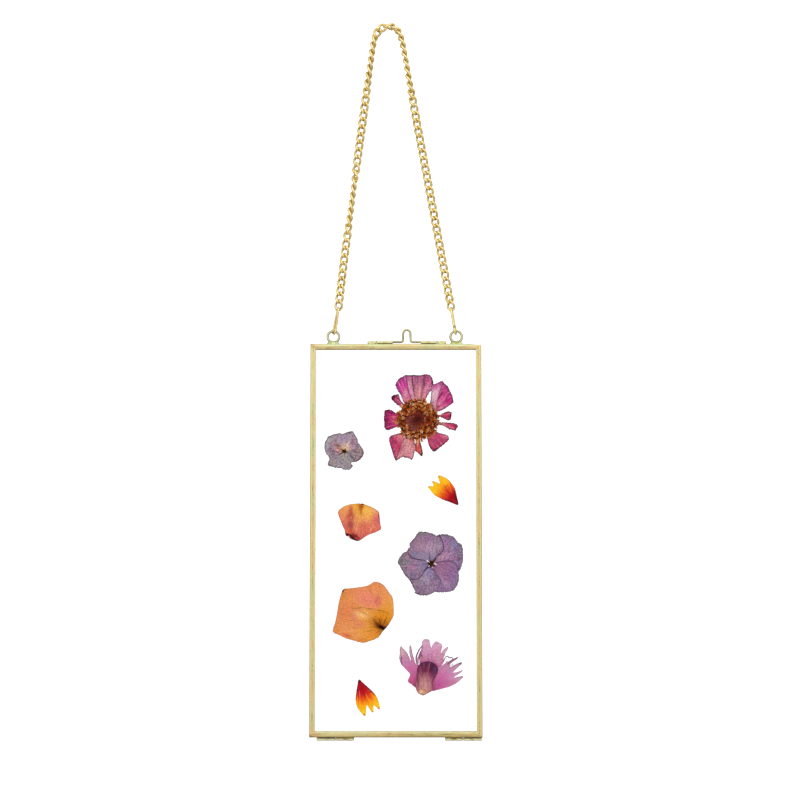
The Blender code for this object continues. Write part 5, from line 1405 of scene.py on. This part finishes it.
for name, centre, root, stains_and_painted_light, burns in (
    ("ray_floret_upper", UPPER_RAY, (-0.2, 0.1), (
        (-3.1, 3.9, 3.4, 1.9, 45, "#AC0C1C", 0.7), (-5.2, 1.6, 3.4, 0.5, -17, "#540616", 0.8),
        (-1.3, 4.5, 0.5, 3.6, 15, "#5A0A1E", 0.8), (-6.9, 9.6, 0.9, 0.5, 20, "#C46A00", 0.6),
        (-10.9, 16.0, 0.6, 0.6, 0, "#4A5030", 0.9), (-16.8, 9.7, 0.6, 0.6, 0, "#4A4A30", 0.9),
        (-14.3, 13.0, 0.5, 0.5, 0, "#8A7A30", 0.6), (-12.9, 6.8, 1.8, 1.1, -35, "#FECE2A", 0.7),
        (-6.9, 12.3, 1.5, 1.4, 0, "#FECA2E", 0.6), (-4.2, 8.0, 0.8, 1.8, 30, "#E86A2C", 0.6),
        (-8.6, 5.4, 2.2, 0.6, -35, "#E84818", 0.6), (-9.6, 13.8, 1.0, 2.0, 25, "#FEB410", 0.6),
        (-2.2, 2.6, 0.4, 1.8, 40, "#7A0A14", 0.6), (-5.6, 6.8, 0.4, 1.6, 40, "#C83420", 0.6)), (
        (-5.6, 1.3, 4.0, 0.5, -20, "#4E0812", 0.9), (-0.9, 4.2, 0.5, 4.0, 13, "#5C1024", 0.85),
        (-0.5, 0.4, 0.8, 0.8, 0, "#5E1828", 0.8), (-3.2, 3.6, 2.4, 1.5, 45, "#A80818", 0.6))),
    ("ray_floret_lower", LOWER_RAY, (0.0, 0.2), (
        (2.1, -5.5, 2.2, 3.2, 15, "#B00C1C", 0.75), (5.3, -4.4, 2.4, 0.5, -40, "#680A28", 0.75),
        (7.1, -6.5, 0.5, 0.5, 0, "#3C080A", 0.8), (0.0, -0.4, 0.7, 0.7, 0, "#1C0A0E", 1.0),
        (0.5, -7.9, 0.4, 2.0, 10, "#F25E5E", 0.8), (-0.8, -5.2, 0.4, 3.4, 8, "#781C3C", 0.7),
        (2.4, -11.5, 0.4, 2.4, -5, "#E0600C", 0.7), (4.8, -10.4, 0.4, 2.6, 25, "#F07C14", 0.6),
        (3.5, -19.6, 0.7, 0.7, 0, "#7A6A20", 0.85), (8.0, -18.2, 0.7, 0.7, 0, "#7A6A20", 0.85),
        (11.6, -16.3, 0.7, 0.7, 0, "#8A5A20", 0.85), (8.6, -7.8, 1.4, 0.4, -45, "#8A3410", 0.6),
        (5.8, -6.8, 0.8, 0.7, 0, "#CC180E", 0.6), (9.2, -12.4, 0.9, 1.6, 30, "#FEC828", 0.6),
        (1.5, -15.8, 1.2, 2.0, 0, "#FEB812", 0.5), (6.4, -15.6, 1.0, 1.6, 20, "#FEC41C", 0.5),
        (3.4, -8.4, 0.35, 1.8, 18, "#8C0C10", 0.6), (1.6, -3.6, 0.35, 1.4, 10, "#8A0C1C", 0.6)), (
        (0.0, -0.4, 0.7, 0.7, 0, "#1A0608", 1.0), (4.8, -3.9, 3.2, 0.5, -40, "#6A0C30", 0.85),
        (7.1, -6.2, 0.7, 0.6, -40, "#38060A", 0.9), (8.8, -7.8, 1.8, 0.4, -48, "#7A2A0C", 0.75),
        (-0.9, -4.4, 0.4, 4.4, 7, "#6A1430", 0.8), (2.0, -4.8, 1.6, 2.6, 18, "#AA0818", 0.6))),
):
    finish = petal_finish(
        f"dried_{name}", centre, RAY_COLOURS, "#5A1420 #D8A428", "#B82A0C", "#FEB83C", stains_and_painted_light,
        vein=1.1, rib_share=0.16, pale_share=0.0, rim_width=0.4, rim_share=0.6, stray=0.55,
        back="#E8B850", seed=centre[0], wander=0.8, grain=(0.9, 1.08), burns=burns)
    pressed_petal(name, "dried_ray_floret", centre, root, finish, spread=0.32, tear=0.06, rib_pitch=1.5,
                  rib_height=0.06, swell=0.12, curl=0.12)

# ---------------------------------------------------------------------------------------
# Rose petals: a small and a large one, dried stiff. Their veins fan out from a scorched
# root, amber fades into salmon, and the skin has set in fine crinkles and a crease.

SMALL_ROSE = (-16.2, -292.4)
LARGE_ROSE = (-15.0, -346.3)

small_rose_skin = petal_finish(
    "dried_rose_petal_small", SMALL_ROSE,
    "#A05010 #E6A040 #F0AA54 #EA9260 #E07A64 #DA6A60 #D4605C",
    "#8A5A2C #84443A", "#BE5244", "#F4AC8C", (
        (3.0, 7.7, 4.4, 3.0, -12, "#F8BE5A", 0.85), (-3.6, 9.6, 2.0, 1.6, 0, "#F4B048", 0.75),
        (-11.6, 6.4, 1.5, 2.6, 15, "#F29A50", 0.75), (-10.5, 2.3, 1.2, 2.4, 15, "#EC8A56", 0.5),
        (-6.2, 7.6, 1.6, 2.7, -10, "#C24840", 0.85), (-6.2, 3.8, 3.0, 3.2, 0, "#C0504A", 0.85),
        (-6.2, -1.2, 2.3, 3.2, 0, "#B85050", 0.9), (-5.8, -4.8, 1.3, 1.5, 0, "#C43C30", 0.75),
        (-6.1, 3.0, 0.6, 0.9, 0, "#F0A48A", 0.85), (-7.3, 4.4, 0.4, 0.7, 0, "#DC7E66", 0.6),
        # The light pink spot at (8.5, 4.2) is a painted highlight.
        (8.9, 1.5, 2.8, 3.8, 0, "#DA646A", 0.8), (8.5, 4.2, 1.2, 1.2, 0, "#EE8080", 0.6),
        (10.5, 2.7, 0.6, 3.2, 4, "#AA2A38", 0.85), (7.3, 7.0, 1.6, 1.8, 0, "#F0A884", 0.6),
        (2.2, -2.4, 4.2, 3.4, 0, "#DE6A5A", 0.65), (-2.9, -3.2, 1.2, 2.0, 0, "#DEA868", 0.5),
        (-7.7, -4.8, 1.0, 1.9, 20, "#DC5A30", 0.75), (3.4, 0.9, 0.35, 2.0, -15, "#F6B08C", 0.65),
        (5.7, -4.0, 0.35, 1.4, -20, "#FAB496", 0.6), (6.9, -2.6, 0.3, 1.2, -25, "#F6AC94", 0.6),
        (0.7, 1.5, 0.35, 2.0, -5, "#F4AC7C", 0.6), (4.6, 4.6, 0.35, 1.6, -25, "#F8C470", 0.5),
        (-0.9, 8.1, 0.9, 1.6, 0, "#CE7014", 0.5), (-5.2, -6.3, 1.3, 0.9, -25, "#A82C1C", 0.85),
        (1.8, -8.7, 2.6, 0.4, 25, "#84342E", 0.6)),
    vein=0.65, rib_share=0.45, pale_share=0.4, rim_width=0.4, rim_share=0.7, back="#CD8880", seed=3.0,
    wander=1.0, grain=(0.82, 1.14), burns=(
        (0.1, 9.2, 1.5, 2.4, 0, "#AC4A08", 0.9), (0.0, 6.2, 0.6, 2.0, 0, "#B05408", 0.8),
        (-6.2, 5.2, 1.3, 3.2, -8, "#B8463E", 0.6), (-6.2, -1.8, 1.6, 2.8, 0, "#AE4A4C", 0.6),
        (0.8, 10.7, 0.8, 0.6, 0, "#1A0404", 1.0), (-3.4, -7.8, 2.4, 1.3, -25, "#86101E", 0.9),
        (-1.5, -9.2, 1.2, 1.1, 0, "#98202E", 0.8), (-8.2, -7.0, 1.1, 1.0, 0, "#120006", 1.0),
        (-6.2, -7.5, 1.8, 0.9, -25, "#160006", 1.0), (-4.7, -9.2, 2.2, 1.1, -38, "#120006", 1.0),
        (-2.7, -10.4, 2.0, 0.8, -18, "#160008", 1.0), (10.7, 3.0, 0.5, 3.4, 4, "#962430", 0.85)))
pressed_petal("rose_petal_small", "dried_rose_petal", SMALL_ROSE, (0.6, 11.4), small_rose_skin, tear=0.08,
              rib_pitch=0.9, rib_height=0.035, swell=0.16, curl=0.15)

large_rose_skin = petal_finish(
    "dried_rose_petal_large", LARGE_ROSE,
    "#86420C #D4841C #E49436 #EA9E4C #E8965A #E68E5A #E48A56 #E48652",
    "#6A4420 #7C5E48", "#C0602A", "#F4B484", (
        (2.6, 9.8, 8.6, 5.2, -15, "#EA8874", 0.85), (5.8, 7.4, 5.6, 3.6, 0, "#E8846E", 0.7),
        (8.8, 8.8, 2.4, 3.8, 0, "#D8685E", 0.7), (-9.0, 3.0, 6.0, 5.0, 0, "#E27C50", 0.5),
        (-7.1, 9.1, 3.2, 3.2, 0, "#EE9A56", 0.5), (-4.9, -0.6, 2.2, 2.8, 0, "#DC7A70", 0.65),
        (-0.6, 0.5, 5.0, 2.4, -10, "#F2BC7C", 0.8), (-1.7, -4.9, 4.4, 2.8, 0, "#DE7A64", 0.65),
        (11.3, 0.3, 4.6, 3.4, 0, "#E28C1C", 0.85), (4.8, -10.3, 4.4, 2.8, 0, "#E68E3C", 0.65),
        (0.0, -14.1, 4.0, 1.4, 0, "#DC7E34", 0.65), (-12.5, 0.8, 2.8, 0.45, -8, "#C8542C", 0.75),
        (-8.2, 0.0, 2.6, 0.4, -10, "#CA5838", 0.65), (-9.2, -11.4, 3.4, 1.1, -22, "#D2563C", 0.75),
        (-2.8, 4.4, 4.4, 0.3, 3, "#845024", 0.9), (3.7, 4.0, 3.0, 0.3, -5, "#965A2C", 0.85),
        (9.7, 2.9, 3.2, 0.3, -12, "#8A4C1C", 0.85), (14.0, 1.6, 1.6, 0.28, -20, "#8A4C18", 0.7),
        (0.5, 1.6, 4.4, 0.28, -25, "#AC7638", 0.7), (-11.4, 10.8, 1.6, 2.4, 0, "#D88A32", 0.6),
        (-15.2, -8.2, 2.0, 2.0, 0, "#E09238", 0.6), (13.5, 13.5, 1.4, 3.4, 35, "#EC9A60", 0.5),
        (-4.4, -7.1, 4.2, 0.32, -8, "#C85430", 0.6), (-6.5, -2.8, 3.2, 0.32, -6, "#CA5C3A", 0.6),
        (8.0, -3.8, 5.0, 3.4, -30, "#A85A0C", 0.65),
        (10.6, -3.0, 0.28, 2.8, 12, "#74340A", 0.8), (7.6, -3.4, 3.2, 0.28, -45, "#743008", 0.85),
        (6.8, -6.8, 3.4, 0.28, -4, "#84440F", 0.8), (3.9, -8.7, 3.6, 0.26, 8, "#A45E18", 0.7),
        (13.0, -2.4, 0.28, 2.4, -22, "#84440A", 0.75), (8.6, -9.2, 2.6, 0.28, 40, "#7A3C10", 0.75),
        (4.6, -4.4, 3.4, 0.26, -22, "#A4601C", 0.65), (11.8, 0.6, 0.26, 3.2, -4, "#B4700C", 0.6),
        (-12.5, 13.2, 0.45, 0.8, 0, "#5A3424", 0.7)),
    vein=0.5, rib_share=0.35, pale_share=0.4, rim_width=0.35, rim_share=0.75, back="#D99B7D", seed=9.0,
    wander=1.0, grain=(0.82, 1.14), burns=(
        (9.2, -5.8, 3.2, 2.0, -25, "#5A1A04", 0.85), (9.8, -3.8, 0.45, 2.8, 12, "#6A2A06", 0.75),
        (7.2, -4.2, 2.6, 0.4, -45, "#6A2A08", 0.75), (12.2, -4.0, 0.4, 2.4, -20, "#74360A", 0.7),
        (10.4, -6.6, 2.0, 1.3, -15, "#1E0402", 0.95), (12.1, -7.4, 1.9, 1.2, -10, "#0A0002", 1.0),
        (-11.9, 14.4, 1.0, 0.9, 0, "#0E040A", 1.0)))
pressed_petal("rose_petal_large", "dried_rose_petal", LARGE_ROSE, (13.6, -7.8), large_rose_skin, tear=0.06,
              rib_pitch=1.0, rib_height=0.035, swell=0.2, curl=0.18)

# ---------------------------------------------------------------------------------------
# Fringed flower: three pink petals slit into narrow teeth, held in a swollen calyx that is
# purple at its lip and straw-coloured at the cut. Loose shreds have curled as they dried.

FRINGED = (21.8, -381.0)
FRINGED_ROOT = (-1.8, -10.5)

for part, colours, rim, stains_and_painted_light in (
    ("left", "#924167 #BC5186 #C96CA2 #C77EAA #C38EB3 #BCA0A9", "#924C6F #775C70", (
        (-8.4, -1.8, 1.2, 1.8, 0, "#D45C8D", 0.75), (-6.8, 0.6, 1.2, 2.4, 0, "#C15C98", 0.6),
        (-13.9, 13.4, 1.0, 2.4, 10, "#D4AFAD", 0.8), (-14.4, 9.6, 0.5, 2.2, 5, "#4C3346", 0.8),
        (-14.6, 6.6, 0.4, 1.8, 0, "#4C3346", 0.7), (-11.4, 7.4, 1.6, 1.8, 30, "#B77BB8", 0.6),
        (-12.6, 11.0, 0.8, 2.6, 20, "#CB91AD", 0.5), (-9.0, 13.0, 0.8, 2.8, 5, "#ACA3B1", 0.7),
        (-9.0, 9.4, 0.7, 2.2, 10, "#B58DA9", 0.5), (-10.0, 4.6, 1.8, 1.4, 0, "#CE60A2", 0.6),
        (-6.4, -6.2, 0.8, 1.8, 20, "#742548", 0.7), (-10.6, 1.8, 2.2, 0.4, -40, "#926280", 0.6))),
    ("top", "#8A366D #BB609A #C67EA6 #CB8AB3 #D49CC0 #CCA8C2", "#7B3665 #A67C9C", (
        (-0.4, 14.6, 2.4, 2.8, 0, "#D4A0C8", 0.6), (0.4, 12.2, 1.4, 1.6, 0, "#C08CC0", 0.45),
        (5.8, 14.4, 2.2, 2.8, -20, "#D48AB6", 0.6), (0.4, 18.4, 2.4, 0.9, 0, "#CCA8C6", 0.4),
        (7.4, 10.8, 1.0, 3.6, -15, "#C699A5", 0.6), (3.4, 10.6, 0.5, 4.4, 0, "#BF6B9F", 0.6),
        (11.4, 14.2, 0.8, 2.2, -25, "#CCB59D", 0.8), (10.4, 10.6, 0.8, 2.4, -28, "#BF929D", 0.6),
        (-2.6, 15.8, 0.5, 1.6, -18, "#7B436C", 0.7), (6.2, 8.6, 1.6, 1.4, 0, "#D692B6", 0.5),
        (2.0, 8.6, 2.6, 1.2, 0, "#B6689D", 0.6), (-2.0, 10.6, 1.2, 1.8, 0, "#C98A9F", 0.5),
        (8.8, 13.0, 0.5, 2.4, -10, "#B6999A", 0.6), (-3.2, 17.8, 0.5, 1.2, -15, "#9A8798", 0.7))),
    ("right", "#923F70 #BE5393 #C568A2 #C780AF #C194B3 #AC8E9E", "#83456F #876C7C", (
        (6.4, -3.8, 2.0, 2.0, 20, "#BC4C8D", 0.8), (5.8, -1.6, 1.2, 2.4, 0, "#B871AD", 0.5),
        (9.6, 0.4, 2.6, 1.2, 25, "#C971A9", 0.6), (15.4, 5.2, 2.2, 0.5, 30, "#B56F8E", 0.6),
        (19.4, 7.4, 1.8, 0.35, 28, "#5B3B46", 0.8), (18.4, 0.8, 1.8, 0.5, 30, "#927C86", 0.7),
        (13.4, 3.4, 1.4, 1.2, 0, "#B888B3", 0.6), (18.8, -1.6, 2.4, 0.6, 18, "#B59AA4", 0.7),
        (20.8, -1.0, 0.8, 0.5, 25, "#775C66", 0.8), (14.4, -1.2, 2.4, 0.9, 10, "#D491B8", 0.6),
        (12.0, -3.2, 3.0, 0.35, 22, "#BC659E", 0.5), (15.6, -3.4, 2.4, 0.4, 18, "#CB6F98", 0.5),
        (11.0, 4.6, 1.4, 1.6, 0, "#B883AA", 0.5), (14.0, -5.0, 2.6, 0.4, 14, "#A07686", 0.6),
        (12.8, 6.2, 1.0, 0.5, 40, "#92517E", 0.5))),
):
    finish = petal_finish(
        f"dried_fringed_petal_{part}", FRINGED, colours, rim, "#9E4589", "#EDBDDD", stains_and_painted_light, vein=0.8,
        rib_share=0.28, pale_share=0.25, rim_width=0.35, rim_share=0.6, seed=float(len(part)),
        grain=(0.82, 1.16))
    pressed_petal(f"fringed_petal_{part}", "dried_fringed_petal", FRINGED, FRINGED_ROOT, finish, tear=0.08,
                  rib_pitch=1.2, rib_height=0.035, swell=0.06)

calyx_skin = petal_finish(
    "dried_fringed_calyx", FRINGED,
    "#D9A283 #C18589 #B67480 #9A546C #722B53 #5E2246 #501C3E",
    "#86404C #5E2C58", "#7C4253", "#DAA095", (
        (0.4, 7.2, 3.8, 1.4, 0, "#5E244E", 0.7), (4.9, 3.8, 1.2, 3.2, -8, "#4E3460", 0.8),
        (3.1, 6.6, 1.2, 1.2, 0, "#4C1A48", 0.6), (-3.2, 4.8, 1.8, 1.8, 0, "#742E54", 0.6),
        (0.4, 3.4, 2.2, 1.4, 0, "#701E47", 0.7), (2.6, 4.4, 0.8, 2.2, 0, "#531A4B", 0.6),
        (-1.4, 6.4, 0.5, 1.6, 10, "#884670", 0.5), (-0.4, 0.8, 2.4, 1.8, 0, "#9E5668", 0.6),
        (-1.4, -2.6, 1.0, 3.6, 0, "#BD8580", 0.75), (1.0, -3.6, 1.0, 3.4, -4, "#BB7E8F", 0.7),
        (-2.6, -3.4, 0.4, 3.4, 4, "#D39E93", 0.6), (-0.2, -5.6, 0.4, 2.6, 0, "#DAA8A6", 0.6),
        (3.4, -4.6, 0.8, 3.6, 0, "#883959", 0.75), (-4.9, -3.0, 0.7, 4.2, 3, "#782A49", 0.75),
        (4.2, -1.0, 0.7, 2.6, 8, "#6E1C4B", 0.6), (-5.6, -6.6, 0.9, 1.6, 20, "#8C374F", 0.6),
        (-2.2, -8.4, 2.2, 0.7, 10, "#DF994D", 0.85), (-3.4, -9.0, 1.4, 0.9, 0, "#F1C6A6", 0.85),
        (-1.2, -8.0, 1.0, 0.5, 0, "#B65F1F", 0.7), (-1.9, -10.8, 0.8, 0.4, -20, "#392215", 0.9),
        (-3.2, -10.4, 0.8, 0.4, 0, "#E5BB8F", 0.7), (0.4, -9.2, 1.2, 1.0, 20, "#C58291", 0.6)),
    vein=0.9, rib_share=0.35, pale_share=0.3, rim_width=0.7, rim_share=0.6, back="#A88A6A", seed=5.0,
    grain=(0.85, 1.12))
pressed_petal("fringed_calyx", "dried_calyx", FRINGED, FRINGED_ROOT, calyx_skin, tear=0.1, rib_pitch=1.4,
              rib_height=0.04, swell=0.0, dome=0.2, dome_width=2.4)

# The shreds: slivers of petal torn loose along a vein, no thicker than thread.
STRAND_DEPTH = -1.05
SLIVER_DEPTH = -0.1
SLIVER_FLATNESS = 0.12
shreds = (
    (((-2.6, 17.4), (-4.2, 15.3), (-5.1, 13.4), (-5.9, 11.3), (-6.0, 9.0), (-5.6, 7.2)),
     (0.2, 0.36, 0.36, 0.46, 0.4, 0.2)),
    (((-3.2, 14.6), (-3.9, 12.2), (-4.0, 9.6), (-3.8, 8.0)), (0.1, 0.24, 0.24, 0.12)),
    (((-2.8, 13.2), (-2.7, 10.4)), (0.08, 0.16, 0.08)),
    (((10.1, 8.6), (10.4, 10.0), (11.2, 11.0), (12.3, 11.4), (13.0, 10.5), (14.6, 10.6), (15.2, 9.6),
      (13.7, 8.1), (11.9, 6.6)), (0.1, 0.2, 0.28, 0.3, 0.3, 0.28, 0.3, 0.34, 0.2)),
    (((18.4, 10.8), (15.8, 9.6), (14.6, 9.0)), (0.22, 0.36, 0.2)),
    (((13.8, 6.2), (14.6, 6.4), (15.4, 7.5)), (0.12, 0.26, 0.1)),
    (((10.6, 8.8), (11.4, 8.2), (11.8, 7.8)), (0.08, 0.14, 0.08)),
)
shred_skin = fibre_skin("curled_petal_shred", 420.0, 3.0, (
    (0.34, "#2E142A"), (0.5, "#54304A"), (0.68, "#8A5878")), 0.6)

# Wider slivers still hang between the petals, thin enough to have kept their pink.
slivers = (
    (((-5.4, 4.6), (-5.2, 8.2), (-4.2, 12.2), (-3.4, 14.6)), (0.5, 0.75, 0.4, 0.1)),
    (((-3.6, 4.6), (-3.4, 8.6), (-3.2, 12.0), (-2.6, 15.0)), (0.6, 0.8, 0.6, 0.2)),
    (((4.6, 2.4), (7.6, 5.6), (9.6, 8.2), (10.6, 10.4)), (0.6, 0.9, 0.6, 0.12)),
    (((5.6, 2.0), (8.4, 4.6), (10.8, 6.6), (12.4, 8.8)), (0.6, 0.95, 0.6, 0.12)),
)
sliver_skin = fibre_skin("pink_petal_sliver", 700.0, 3.0, (
    (0.34, "#9A4C80"), (0.5, "#C878A8"), (0.68, "#DCA4C4")), 0.7)

for name, strips, depth, flatness, finish in (
        ("fringed_petal_shreds", shreds, STRAND_DEPTH, HEART_FLATNESS, shred_skin),
        ("fringed_petal_slivers", slivers, SLIVER_DEPTH, SLIVER_FLATNESS, sliver_skin)):
    parts = [flattened_wire(FRINGED, depth, points, radii, flatness) for points, radii in strips]
    loose = add_mesh(name, *join_parts(parts), finish)
    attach(loose, "back_leaf")
